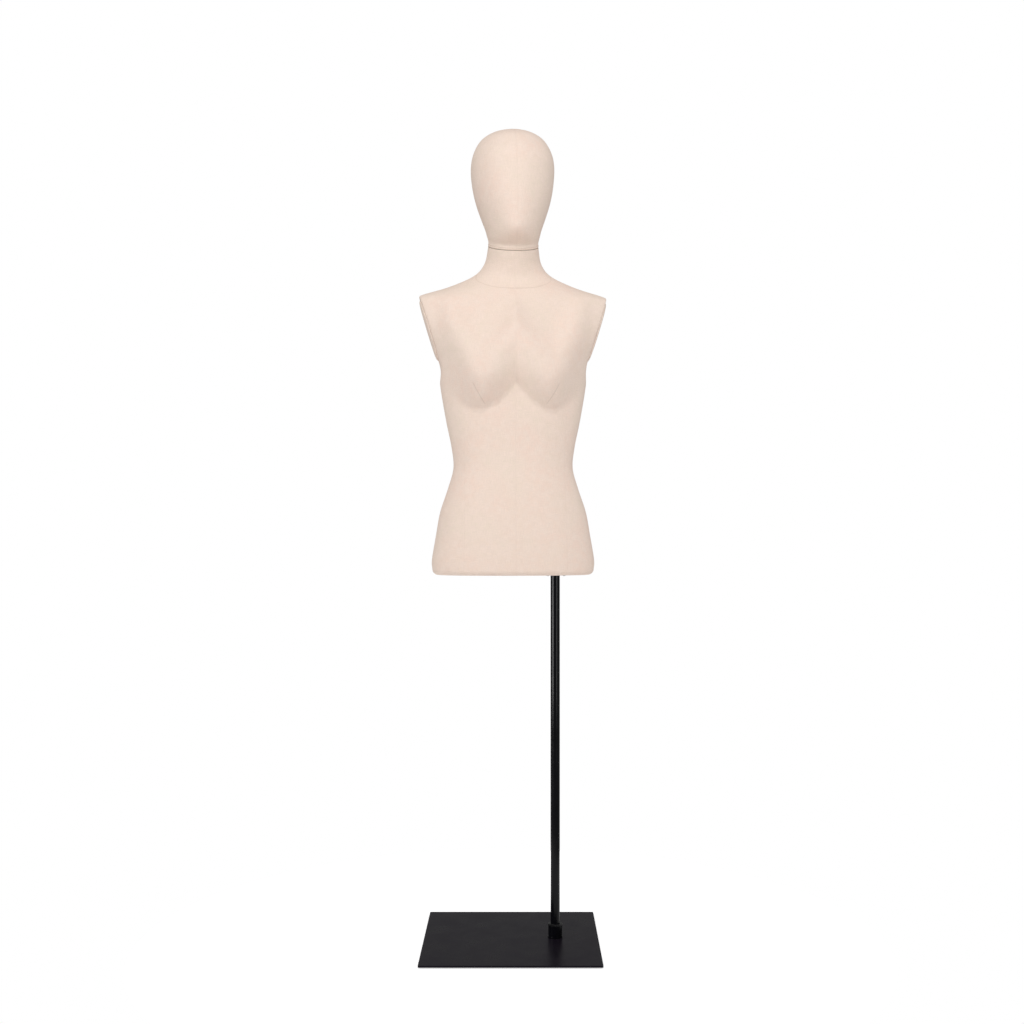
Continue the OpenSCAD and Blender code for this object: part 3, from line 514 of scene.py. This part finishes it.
def build_torso_cover():
    u, a, seam, off, row_off = torso_grid()
    grid = surface(TORSO, u, a, True)
    h = grid[..., 2]
    shape = u.shape
    distance = np.full(shape, FAR)
    pull = np.zeros(shape)
    front_y = grid[..., 1] < 0
    below_neck = np.broadcast_to(np.cumsum(row_off[:, None] == 0, 0) == 0, shape)
    # How much each kind of seam shows, and between which heights it fades out
    strength = {
        "side": np.where(below_neck, 1.0, 0.0) * (1 - smooth_step(ARM_FOOT - 14, ARM_FOOT - 4, h)),
        "front": 0.6 * (1 - smooth_step(338, 352, h)),
        "back": 1 - smooth_step(455, 520, h),
        "middle": np.where(front_y, 0.75 * (1 - 0.45 * smooth_step(355, 420, h)), 1.0),
        "edge": np.zeros(shape),
    }
    # Each seam pulls the cloth into a groove, and its distance (seam_mm) sets the painted shade that the
    # cloth material lays along it
    for k in np.where(off < FAR)[0]:
        s = strength[seam[k]][:, k]
        pull[:, k] = s * groove(off[k], 0.35, 0.75)
        distance[:, k] = np.where(s > 0.05, off[k] + 2.5 * (1 - s), FAR)
    # The shoulder seams, on the ridge between the neckline and the arm faces
    ridge = smooth_step(FORM_H - 2, FORM_H + 4, h)
    for k in np.where((np.array(seam) == "side") & (off < FAR))[0]:
        s = ridge[:, k] * below_neck[:, k]
        pull[:, k] = np.maximum(pull[:, k], s * groove(off[k], 0.45, 0.75))
        distance[:, k] = np.where(s > 0.3, off[k], distance[:, k])
    for i in np.where(row_off < FAR)[0]:
        pull[i] = np.maximum(pull[i], groove(row_off[i], 0.45, 0.75))
        distance[i] = np.minimum(distance[i], row_off[i])
    dart = np.zeros((*shape, 3)) + (FAR, 0, 0)
    for side in (-1, 1):
        d, where = line_distance(grid, dart_path(side))
        fade = smooth_step(0, 0.1, where) * (1 - smooth_step(0.75, 1, where))
        near = (np.abs(d) < 14) & (grid[..., 0] * side > 0) & front_y
        pull = np.where(near, pull + 0.9 * fade * np.exp(-(d / 3.2)**2), pull)
        dart = np.where(near[..., None], np.stack([d, fade, 70 * where], -1), dart)
    grid = grid - pull[..., None] * normals_of(grid)
    # The rim stops a little below the neck's top and rolls in
    axis, out = np.array(NECK_AXIS), out_of_neck(grid[-1], NECK_POINT)
    grid[-1] -= 0.9 * axis
    rim = grid[-1]
    lips = [rim - down * axis - inward * out for down, inward in ((0.35, 0.35), (0.12, 0.9), (0, 1.7))]
    edge_angles = np.arange(0, 90, 9.0)
    edge = ring(edge_section(edge_angles)[:, None], a[0][None], True)
    lip = edge[:1] * (0.985, 0.985, 1) + (0, 0, 0.35)
    outer = np.concatenate([lip, edge, grid, lips])
    inner_u = np.linspace(0, len(TORSO) - 1, 74)
    inner_grid = surface(TORSO, inner_u[:, None], torso_columns(inner_u)[0], True, CLOTH_T)
    inner_grid[-1] = rim - 0.1 * axis - 2.2 * out
    inner_edge = ring(edge_section(np.array([20.0, 55.0]), CLOTH_T)[:, None], a[0][None], True)
    inner_edge[0] = lip[0] * (0.99, 0.99, 1) + (0, 0, CLOTH_T)
    inner = np.concatenate([inner_edge, inner_grid])
    rows, cols = outer.shape[:2]
    points = np.concatenate([outer.reshape(-1, 3), inner.reshape(-1, 3)])
    start, around = rows * cols, np.arange(cols)
    faces = np.concatenate([
        grid_faces(rows, cols),
        grid_faces(len(inner), cols, start, flip=True),
        strip_faces(start + around, around),
        strip_faces(start - cols + around, len(points) - cols + around),
    ])
    lead = 1 + len(edge_angles)  # rows before the grid's own
    far = np.full((rows, cols), FAR)
    far[lead:lead + len(distance)] = distance
    far[:lead] = distance[0]
    seam_mm = np.concatenate([far.ravel(), np.full(len(points) - start, FAR)])
    dart_mm = np.zeros((len(points), 3)) + (FAR, 0, 0)
    dart_mm[lead * cols:(lead + len(dart)) * cols] = dart.reshape(-1, 3)
    return make_mesh("torso_cover_cloth", form_to_world(points), faces,
                     {"seam_mm": seam_mm, "cloth_mm": cloth_coordinates(outer, inner), "dart_mm": dart_mm})


torso_cover = build_torso_cover()
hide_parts("torso_cover")
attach(torso_cover, "torso")

# ---- Shells ----


def shell_object(name, outer, inner):
    rows, cols = outer.shape[:2]
    start = rows * cols
    across, up = np.arange(cols), np.arange(rows) * cols
    faces = np.concatenate([
        grid_faces(rows, cols, closed=False),
        grid_faces(rows, cols, start, closed=False, flip=True),
        strip_faces(start + across, across, False),
        strip_faces(start - cols + across, 2 * start - cols + across, False),
        strip_faces(up, start + up, False),
        strip_faces(start + up + cols - 1, up + cols - 1, False),
    ])
    return make_mesh(name, np.concatenate([outer.reshape(-1, 3), inner.reshape(-1, 3)]), faces)


def build_torso_shell(name, first, last):
    """A moulded half shell under the cloth, from angle first to last in degrees."""
    u = np.linspace(0, len(TORSO) - 1, 110)
    a = np.radians(np.linspace(first, last, 90))
    outer = surface(TORSO, u[:, None], a[None], True, CLOTH_T + SHELL_CLEAR)
    inner = surface(TORSO, u[:, None], a[None], True, CLOTH_T + SHELL_T)
    return shell_object(name, form_to_world(outer), form_to_world(inner))


for side, first, last in (("back", 0, 180), ("front", 180, 360)):
    torso_shell = build_torso_shell(f"torso_shell_{side}_moulded", first, last)
    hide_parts(f"torso_shell_{side}")
    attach(torso_shell, "torso")

# ---- Head ----


def chin(x, h):
    """How far the chin stands out in front, above the soft hollow under it."""
    return 4.5 * np.exp(-(x / 30)**2 - ((h - 33) / 17)**2) - 3.0 * np.exp(-(x / 38)**2 - ((h - 14) / 8)**2)


def head_surface(u, a, inset=0.0):
    s = section(HEAD, u, inset)
    p = ring(s, a, False)
    p[..., 1] -= chin(p[..., 0], s[..., 0]) * np.maximum(0, -np.sin(a))
    return p + (0, 0, NECK_TOP)


def head_columns(u):
    """The head's columns at places u, from its left side backwards."""
    back, front, steps = 0.5 * math.pi + 0 * u, 1.5 * math.pi + 0 * u, 96
    return columns_between([(back, "back", steps), (front, "front", steps)],
                           lambda a: head_surface(u, a), 3, 0.35)


def build_head_cover():
    heights = np.concatenate([np.arange(HEAD[0, 0], 0.93 * HEAD_H, 2.2),
                              HEAD_H * np.array([0.94, 0.95, 0.96, 0.968, 0.975, 0.981, 0.986, 0.99,
                                                 0.994, 0.997, 0.9985, 1.0])])
    u = place_of(HEAD, heights)
    u[0], u[-1] = 0, len(HEAD) - 1
    a, seam, off = head_columns(u)
    grid = head_surface(u[:, None], a)
    h = grid[..., 2] - NECK_TOP
    pull = np.zeros(a.shape)
    distance = np.full(a.shape, FAR)
    crown = smooth_step(0.998 * HEAD_H, 0.985 * HEAD_H, h)
    # Each seam's distance (seam_mm) also sets the painted shade that the cloth material lays along it
    for k in np.where(off < FAR)[0]:
        # The front seam shows less below the forehead
        front = 0.6 - 0.25 * (1 - smooth_step(150, 158, h[:, k]))
        s = crown[:, k] * (front if seam[k] == "front" else 1.0)
        pull[:, k] = s * groove(off[k], 0.42, 0.7)
        distance[:, k] = np.where(s > 0.05, off[k] + 1.6 * (1 - s), FAR)
    grid = grid - pull[..., None] * normals_of(grid)
    top = grid[-1].mean(0) + (0, 0, 0.25)
    # The rim turns in tightly against the cap
    axis, rim = np.array(NECK_AXIS), grid[0].copy()
    out = out_of_neck(rim, head_surface(np.zeros(1), a[0]).mean(0))
    grid[0] = rim + 0.5 * axis
    outer = np.concatenate([[rim + 0.02 * axis - 1.1 * out, rim + 0.12 * axis - 0.3 * out], grid])
    inner_u = np.linspace(0, len(HEAD) - 1, 60)
    inner = head_surface(inner_u[:, None], head_columns(inner_u)[0], CLOTH_T)
    rows, cols = outer.shape[:2]
    points = np.concatenate([outer.reshape(-1, 3), inner.reshape(-1, 3), [top, inner[-1].mean(0)]])
    start, tip, around = rows * cols, len(points) - 2, np.arange(cols)
    faces = [*grid_faces(rows, cols), *grid_faces(len(inner), cols, start, flip=True),
             *strip_faces(start + around, around),
             *fan_faces(start - cols + around, tip),
             *fan_faces(tip - cols + around, tip + 1, flip=True)]
    far = np.concatenate([distance[:1], distance[:1], distance]).ravel()
    seam_mm = np.concatenate([far, np.full(len(points) - start, FAR)])
    cloth = np.concatenate([cloth_coordinates(outer, inner), [[0, 330, 0], [0, 330, 0]]])
    return make_mesh("head_cover_cloth", head_to_world(points), faces,
                     {"seam_mm": seam_mm, "cloth_mm": cloth})


head_cover = build_head_cover()
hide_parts("head_cover")
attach(head_cover, "head")

for side, first, last in (("back", 0, 180), ("front", 180, 360)):
    places = np.linspace(0, len(HEAD) - 1, 80)[:, None]
    angles = np.radians(np.linspace(first, last, 60))[None]
    head_shell = shell_object(f"head_shell_{side}_moulded",
                              head_to_world(head_surface(places, angles, CLOTH_T)),
                              head_to_world(head_surface(places, angles, CLOTH_T + SHELL_T)))
    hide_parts(f"head_shell_{side}")
    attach(head_shell, "head")

# ---- Cloth-covered plates ----


def rounded_plate(name, outline, low, top_t, edge_low, edge_top, place, crown=0.0, wide=None):
    """Cloth over a plate: round a rim of outline points, from height low to top_t, and hollow.

    edge_low and edge_top are its rim's radii, crown is how far its middle stands above its rim, and
    wide how far in the rim's bend reaches."""
    n = len(outline)
    middle = outline.mean(0)
    towards = middle - outline
    towards /= np.linalg.norm(towards, axis=1, keepdims=True)
    rings, rise = [], []

    def add(inset, height, share=0.0):
        line = outline + inset * towards
        rings.append(line + share * (middle - line))
        rise.append(height)

    thick = CLOTH_T - 0.15
    bend = np.radians(np.linspace(0, 90, 13))
    wide_out = edge_top if wide is None else wide
    shares = (0.04, 0.1, 0.18, 0.28, 0.4, 0.52, 0.64, 0.76, 0.87, 0.95)
    for share in shares[::-1]:
        add(wide_out, top_t - thick + crown * (1 - (1 - share)**2), share)
    if wide is None:
        add(thick + 0.3, top_t - thick)
        add(thick, top_t - thick - 0.3)
        add(thick, low + edge_low)
    else:
        for t in bend[::-1]:
            add(thick + (wide - 0.6 * thick) * (1 - math.cos(t)),
                top_t - thick - (edge_top - thick) * (1 - math.sin(t)))
    add(max(thick, edge_low), low)
    for t in np.radians(np.linspace(0, 90, 7)):
        add(edge_low * (1 - math.sin(t)), low + edge_low * (1 - math.cos(t)))
    for t in bend:
        add(wide_out * (1 - math.cos(t)), top_t - edge_top * (1 - math.sin(t)))
    for share in shares:
        add(wide_out, top_t + crown * (1 - (1 - share)**2), share)
    pts = np.concatenate([np.concatenate([r, np.full((n, 1), z)], 1) for r, z in zip(rings, rise)])
    pts = np.concatenate([pts, [[*middle, top_t + crown], [*middle, top_t - thick + crown]]])
    tip, around = len(rings) * n, np.arange(n)
    faces = [*grid_faces(len(rings), n), *fan_faces(tip - n + around, tip),
             *fan_faces(around, tip + 1, flip=True)]
    return make_mesh(name, place(pts), faces, {"seam_mm": np.full(len(pts), FAR), "cloth_mm": pts})


def neck_outline(inset):
    a = angles_round(160)
    deep = np.where(np.sin(a) < 0, 0.514, 0.486) * NECK_DEPTH
    return np.stack([(NECK - inset) * np.cos(a), (deep - inset) * np.sin(a)], -1)


def arm_place(side):
    """The function that takes points from an arm plate's own frame, Z outwards, to the shared one."""
    middle = (ARM_FOOT + FORM_H) / 2
    at = (side * float(arm_limit(np.array(middle))), 5, middle)

    def place(p):
        return form_to_world(turned(p, side * (90 + ARM_LEAN), (0, 1, 0)) + at)
    return place


plate_angles = angles_round(200)
oval = np.stack([ARM_PLATE_H / 2 * np.cos(plate_angles), ARM_PLATE_W / 2 * np.sin(plate_angles)], -1)
for side, name in ((-1, "left"), (1, "right")):
    arm_cloth = rounded_plate(f"arm_plate_{name}_cloth", oval, 0.06, ARM_BOARD_T + CLOTH_T, 0.25, 3.85,
                              arm_place(side), crown=0.35, wide=10.0)
    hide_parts(f"arm_cloth_{name}")
    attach(arm_cloth, "torso")

cap_cloth = rounded_plate("neck_cap_cloth", neck_outline(-0.25), CAP_FIT, CAP_FIT + CAP_T, 2.0, 0.7,
                          lambda p: form_to_world(neck_to_form(p)))
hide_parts("cap_cloth")
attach(cap_cloth, "neck_cap")


def flat_cloth(name, outline, low, place, stitch, hole=None):
    """A flat cloth with its edge rolled under and a row of stitches at stitch mm from that edge.

    low is its lower face, and a hole has as many points as the outline, each across from its own."""
    n = len(outline)
    middle = np.repeat(outline.mean(0)[None], n, 0) if hole is None else hole
    depth = np.linalg.norm(outline - middle, axis=1, keepdims=True)
    near = min(32.0, 0.7 * float(depth.min()))
    rings, rise, off = [], [], []

    def add(line, height, distance=FAR):
        rings.append(line)
        rise.append(height)
        off.append(distance)

    def inner(share):
        reach = near / depth
        return outline + (middle - outline) * (reach + share * (1 - reach))

    beside = (-1.6, -1.0, -0.6, -0.3, 0, 0.3, 0.6, 1.0, 1.6)
    high = low + CLOTH_T - 0.1
    for inset in (0.0, 0.15, 0.5, *(stitch + v for v in beside), 9, 14, 22):
        if inset < near:
            dip = 0.3 * math.exp(-((inset - stitch) / 0.5)**2)
            add(outline + (middle - outline) * inset / depth,
                low + 0.45 * math.exp(-inset / 0.2) + dip, abs(inset - stitch) + 0.1)
    last = 0.98 if hole is None else 1
    for share in (0, 0.15, 0.3, 0.5, 0.7, 0.85, 0.94, last):
        add(inner(share), low)
    lower = len(rings)
    for share in (last - 0.01, 0.6, 0.2):
        add(inner(share), high)
    for inset in (2, 0.3):
        add(outline + (middle - outline) * inset / depth, high)
    pts = np.concatenate([np.concatenate([r, np.full((n, 1), z)], 1) for r, z in zip(rings, rise)])
    tip, around = len(rings) * n, np.arange(n)
    faces = [*grid_faces(lower, n, flip=True),
             *grid_faces(len(rings) - lower, n, lower * n, flip=True),
             *strip_faces(around, tip - n + around)]
    last_low, first_high = (lower - 1) * n + around, lower * n + around
    if hole is None:
        pts = np.concatenate([pts, [[*middle[0], low], [*middle[0], high]]])
        faces += fan_faces(last_low, tip, flip=True) + fan_faces(first_high, tip + 1)
    else:
        faces += strip_faces(first_high, last_low)
    seam = np.concatenate([np.repeat(off, n), np.full(len(pts) - tip, FAR)])
    return make_mesh(name, place(pts), faces, {"seam_mm": seam, "cloth_mm": pts})


foot_angles = angles_round(300)
foot = ring(edge_section(np.array([0.0]))[:, None], foot_angles[None], True)[0][:, :2]
foot -= 0.35 * foot / np.linalg.norm(foot, axis=1, keepdims=True)
hole_r = FLANGE_D / 2 + 0.1
flange_hole = np.stack([FORM_POLE + hole_r * np.cos(foot_angles), hole_r * np.sin(foot_angles)], -1)
bottom_cloth = flat_cloth("bottom_panel_cloth", foot, 0.05, form_to_world, 5.0, flange_hole)
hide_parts("bottom_cloth")
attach(bottom_cloth, "torso")

head_base = flat_cloth("head_base_panel_cloth", neck_outline(CLOTH_T + SHELL_T + 0.6), HEAD_FOOT + 0.04,
                       lambda p: head_to_world(neck_to_form(p)), 4.0)
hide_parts("head_base_cloth")
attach(head_base, "head")


# ---- Materials ----


class Nodes:
    """Short ways to build a material's nodes."""

    def __init__(self, name):
        self.material = bpy.data.materials.new(name)
        self.material.use_nodes = True
        self.tree = self.material.node_tree
        self.shader = next(n for n in self.tree.nodes if n.type == "BSDF_PRINCIPLED")

    def set(self, **values):
        for key, value in values.items():
            self.put(self.shader.inputs[key.replace("_", " ")], value)

    def put(self, socket, value):
        """Links an output to an input, or sets the input's value."""
        if isinstance(value, bpy.types.NodeSocket):
            self.tree.links.new(value, socket)
        else:
            is_colour = hasattr(value, "__len__") and len(socket.default_value) == 4
            socket.default_value = (*value, 1) if is_colour else value

    def add(self, kind, inputs=(), **props):
        node = self.tree.nodes.new(kind)
        for key, value in props.items():
            setattr(node, key, value)
        for key, value in (inputs.items() if isinstance(inputs, dict) else enumerate(inputs)):
            self.put(node.inputs[key], value)
        return node

    def math(self, operation, *values):
        return self.add("ShaderNodeMath", values, operation=operation).outputs[0]

    def times(self, a, b):
        return self.math("MULTIPLY", a, b)

    def vector(self, operation, *values):
        return self.add("ShaderNodeVectorMath", values, operation=operation).outputs[0]

    def attribute(self, name, output):
        return self.add("ShaderNodeAttribute", attribute_name=name).outputs[output]

    def place(self):
        """Where a point was at rest, in mm."""
        at = self.add("ShaderNodeTexCoord").outputs["Object"]
        return self.vector("MULTIPLY", at, (1000, 1000, 1000))

    def noise(self, at, scale, detail=2.0, rough=0.5, stretch=(1, 1, 1)):
        """Noise around 0.5 whose features are scale mm across."""
        at = self.vector("MULTIPLY", at, tuple(v / scale for v in stretch))
        node = self.add("ShaderNodeTexNoise", {"Vector": at, "Scale": 1.0, "Detail": detail,
                                               "Roughness": rough})
        return node.outputs["Fac"]

    def ramp(self, value, low, high, to_low=0.0, to_high=1.0):
        node = self.add("ShaderNodeMapRange", {"Value": value, "From Min": low, "From Max": high,
                                               "To Min": to_low, "To Max": to_high},
                        interpolation_type="SMOOTHSTEP")
        return node.outputs["Result"]

    def mix(self, amount, a, b, blend="MIX"):
        node = self.add("ShaderNodeMix", data_type="RGBA", blend_type=blend)
        self.put(node.inputs["Factor"], amount)
        self.put(node.inputs[6], a)
        self.put(node.inputs[7], b)
        return node.outputs[2]

    def shade(self, colour, value):
        """The colour times a grey value."""
        return self.mix(1.0, colour, self.add("ShaderNodeCombineXYZ", [value] * 3).outputs[0], "MULTIPLY")

    def bump(self, height, distance_mm, strength=1.0):
        node = self.add("ShaderNodeBump", {"Height": height, "Distance": distance_mm / 1000,
                                           "Strength": strength})
        return node.outputs["Normal"]


def cloth_material(name):
    """Fine off-white cotton glued over the form, a little darker in its seams and darts: painted shade in
    and beside their grooves.
    """
    k = Nodes(name)
    place = k.place()
    at = k.attribute("cloth_mm", "Vector")
    split = k.add("ShaderNodeSeparateXYZ", [at])
    x, y = split.outputs[0], split.outputs[1]
    wander = k.noise(at, 9, 1)
    x = k.math("ADD", x, k.times(wander, 0.35))
    y = k.math("ADD", y, k.times(wander, 0.35))
    yarn_pitch, stitch_pitch = 0.62, 2.6
    warp = k.math("SINE", k.times(x, 2 * math.pi / yarn_pitch))
    weft = k.math("SINE", k.times(y, 2 * math.pi / yarn_pitch))
    weave = k.times(warp, weft)
    slub_up = k.noise(at, 1.1, 2, 0.6, (1, 0.07, 0.2))
    slub_round = k.noise(at, 1.1, 2, 0.6, (0.07, 1, 0.2))
    slubs = k.math("ADD", slub_up, slub_round)
    patches = k.noise(place, 95, 2, 0.5)
    small = k.noise(place, 14, 3, 0.6)
    colour = k.mix(k.ramp(patches, 0.36, 0.64), (0.884, 0.700, 0.597), (0.860, 0.716, 0.604))
    colour = k.mix(k.ramp(small, 0.3, 0.7), colour, (0.885, 0.727, 0.628))
    colour = k.shade(colour, k.ramp(slubs, 0.6, 1.4, 0.955, 1.045))
    colour = k.shade(colour, k.ramp(weave, -1, 1, 0.93, 1.03))
    height = k.math("ADD", k.times(weave, 0.5), k.times(slubs, 0.9))
    seam = k.attribute("seam_mm", "Fac")
    dart = k.add("ShaderNodeSeparateXYZ", [k.attribute("dart_mm", "Vector")])
    beside_dart = k.math("ABSOLUTE", dart.outputs[0])
    beside_dart = k.math("ADD", beside_dart, k.ramp(dart.outputs[1], 0, 1, 5, 0))
    has_dart = k.ramp(dart.outputs[1], 0.001, 0.002, 99, 0)
    seam = k.math("MINIMUM", seam, k.math("ADD", beside_dart, has_dart))
    stitch = k.math("SINE", k.times(k.math("ADD", x, y), 2 * math.pi / stitch_pitch))
    # Painted shade: a dark line along each seam's groove, stitch row and dart, and a fainter darker band
    # beside it
    line = k.ramp(seam, 0.15, 0.95, 1.0, 0.0)
    beside = k.ramp(seam, 0.8, 3.2, 1.0, 0.0)
    colour = k.mix(k.times(line, 0.38), colour, (0.50, 0.385, 0.31))
    colour = k.mix(k.times(beside, 0.07), colour, (0.62, 0.50, 0.42))
    pucker = k.times(k.times(stitch, beside), 0.8)
    height = k.math("ADD", height, pucker)
    k.set(Base_Color=colour, Roughness=0.93, Specular_IOR_Level=0.2, Sheen_Weight=0.06,
          Sheen_Roughness=0.6, Normal=k.bump(height, 0.07, 0.8))
    return k.material


def black_coat_material(name, base, level, rough, grain):
    """Satin black: fine orange peel, dull patches and a few paler specks."""
    k = Nodes(name)
    place = k.place()
    peel = k.noise(place, grain, 3, 0.6)
    dull = k.noise(place, 60, 3, 0.6)
    dust = k.noise(place, 2.2, 2, 0.7)
    tint = k.mix(k.ramp(dull, 0.3, 0.7), base, tuple(v * 1.35 for v in base))
    tint = k.mix(k.times(k.ramp(dust, 0.66, 0.8), 0.25), tint, tuple(v * 3 for v in base))
    k.set(Base_Color=tint, Roughness=k.ramp(dull, 0.25, 0.75, rough - 0.04, rough + 0.05),
          Specular_IOR_Level=level, Normal=k.bump(peel, 0.05, 0.5))
    return k.material


def steel_material(name):
    k = Nodes(name)
    place = k.place()
    lines = k.noise(place, 0.8, 2, 0.6, (1, 1, 0.05))
    patches = k.noise(place, 8, 3, 0.6)
    colour = k.mix(k.ramp(patches, 0.35, 0.65), (0.40, 0.41, 0.43), (0.56, 0.57, 0.58))
    k.set(Base_Color=colour, Metallic=1.0, Roughness=k.ramp(patches, 0.3, 0.7, 0.28, 0.45),
          Normal=k.bump(lines, 0.03, 0.4))
    return k.material


def wood_material(name):
    """Birch plywood: long pale grain and darker pores."""
    k = Nodes(name)
    place = k.place()
    grain = k.noise(place, 5, 4, 0.6, (0.12, 1, 1))
    pores = k.noise(place, 0.9, 2, 0.6, (0.06, 1, 1))
    colour = k.mix(k.ramp(grain, 0.35, 0.65), (0.52, 0.36, 0.20), (0.66, 0.49, 0.30))
    colour = k.mix(k.times(k.ramp(pores, 0.58, 0.7), 0.5), colour, (0.34, 0.21, 0.11))
    k.set(Base_Color=colour, Roughness=0.7, Normal=k.bump(grain, 0.12, 0.4))
    return k.material


def shell_material(name):
    """Moulded resin and glass fibre: mottled, with strands just under the surface."""
    k = Nodes(name)
    place = k.place()
    strands = k.noise(place, 2.4, 4, 0.7, (1, 0.3, 0.6))
    clouds = k.noise(place, 40, 3, 0.6)
    colour = k.mix(k.ramp(clouds, 0.3, 0.7), (0.66, 0.66, 0.58), (0.73, 0.73, 0.66))
    colour = k.mix(k.times(k.ramp(strands, 0.55, 0.7), 0.4), colour, (0.80, 0.81, 0.76))
    k.set(Base_Color=colour, Roughness=0.55, Normal=k.bump(strands, 0.25, 0.5))
    return k.material


def rubber_material(name):
    k = Nodes(name)
    place = k.place()
    specks = k.noise(place, 1.0, 3, 0.6)
    colour = k.mix(k.ramp(specks, 0.4, 0.6), (0.012, 0.012, 0.012), (0.022, 0.022, 0.021))
    k.set(Base_Color=colour, Roughness=0.85, Specular_IOR_Level=0.25, Normal=k.bump(specks, 0.08, 0.5))
    return k.material


CLOTH = cloth_material("cotton_cloth")
PLATE_BLACK = black_coat_material("black_powder_coat", (0.0062, 0.0046, 0.0078), 0.035, 0.30, 0.9)
POLE_BLACK = black_coat_material("black_satin_coat", (0.0010, 0.0010, 0.0015), 0.12, 0.17, 0.7)
BUSH_BLACK = black_coat_material("black_nylon", (0.0035, 0.0033, 0.0040), 0.22, 0.42, 0.5)
STEEL = steel_material("zinc_steel")
WOOD = wood_material("birch_plywood")
SHELL = shell_material("glass_fibre")
RUBBER = rubber_material("black_rubber")

NODE_MATERIALS = (
    (PLATE_BLACK, ("base_plate",)),
    (POLE_BLACK, ("pole_collar", "pole")),
    (BUSH_BLACK, ("collar_bush", "pole_top_plug")),
    (RUBBER, ("base_feet",)),
    (STEEL, ("base_bolt", "base_spigot", "collar_set_screw", "pole_socket", "socket_stop", "socket_flange",
             "flange_screws", "cap_magnet", "pivot_bolt", "pivot_nut", "head_magnet")),
    (WOOD, ("bottom_board", "waist_brace", "arm_board_left", "arm_board_right", "neck_block", "cap_board",
            "head_plug")),
)


def paint(obj, material):
    if len(obj.material_slots) == 0:
        obj.data.materials.append(material)
    for holder in obj.material_slots:
        holder.material = material


for material, nodes in NODE_MATERIALS:
    for node in nodes:
        paint(frame["nodes"][node], material)
for obj in scene.objects:
    if obj.type == "MESH" and obj.name.endswith("_cloth") and "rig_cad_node" not in obj:
        paint(obj, CLOTH)
    if obj.type == "MESH" and obj.name.endswith("_moulded"):
        paint(obj, SHELL)

# ---- Floor, background and lamps ----

world = bpy.data.worlds.new("world")
scene.world = world
world.use_nodes = True
tree = world.node_tree
tree.nodes.clear()
out = tree.nodes.new("ShaderNodeOutputWorld")
path = tree.nodes.new("ShaderNodeLightPath")
pick = tree.nodes.new("ShaderNodeMixShader")
tree.links.new(path.outputs["Is Camera Ray"], pick.inputs[0])
# The strength that lights the object, and the one that the camera sees
for socket, strength in ((1, 0.42), (2, 1.0)):
    background = tree.nodes.new("ShaderNodeBackground")
    background.inputs["Color"].default_value = (1, 1, 1, 1)
    background.inputs["Strength"].default_value = strength
    tree.links.new(background.outputs[0], pick.inputs[socket])
tree.links.new(pick.outputs[0], out.inputs[0])

circle = angles_round(120)
floor = make_mesh("floor", np.stack([0.8 * np.cos(circle), 0.8 * np.sin(circle), 0 * circle], -1),
                  [range(len(circle))])
floor.location.z = -0.0004
floor_nodes = Nodes("white_floor")
floor_at = floor_nodes.add("ShaderNodeTexCoord").outputs["Object"]
far_off = floor_nodes.add("ShaderNodeVectorMath", [floor_at], operation="LENGTH").outputs["Value"]
floor_nodes.set(Base_Color=(0.9, 0.9, 0.9), Roughness=0.9, Specular_IOR_Level=0.0,
                Emission_Color=(1, 1, 1), Emission_Strength=floor_nodes.ramp(far_off, 0.2, 0.7, 0.52, 0.85))
paint(floor, floor_nodes.material)


def area_lamp(name, at, to, width, height, watts):
    lamp = bpy.data.lights.new(name, "AREA")
    lamp.shape = "RECTANGLE"
    lamp.size, lamp.size_y, lamp.energy = width, height, watts
    obj = bpy.data.objects.new(name, lamp)
    scene.collection.objects.link(obj)
    obj.location = at
    way = np.subtract(to, at)
    flat = math.hypot(way[0], way[1])
    obj.rotation_euler = (math.atan2(flat, -way[2]), 0, math.atan2(way[1], way[0]) - math.pi / 2)
    return obj


area_lamp("key", (-0.6, -2.3, 3.2), (0, 0, 1.2), 1.4, 1.4, 21)
area_lamp("front", (0.4, -2.6, 2.7), (0, 0, 1.4), 1.2, 1.2, 18.2)
area_lamp("side_left", (-1.64, -1.0, 1.2), (0, 0, 1.2), 0.5, 1.5, 8)
area_lamp("side_right", (1.36, -1.3, 1.4), (0, 0, 1.3), 0.5, 1.5, 8)
# Two softboxes that only the stand mirrors, as streaks down its pole
stand = bpy.data.collections.new("stand")
for lamp in (area_lamp("streak_left", (-1.64, -1.0, 0.7), (0.095, 0, 0.7), 0.9, 0.9, 38),
             area_lamp("streak_right", (1.36, -1.55, 0.7), (0.095, 0, 0.7), 0.6, 0.9, 9)):
    lamp.light_linking.receiver_collection = stand
for node in ("pole", "pole_collar"):
    stand.objects.link(frame["nodes"][node])

scene.view_settings.view_transform = "Standard"
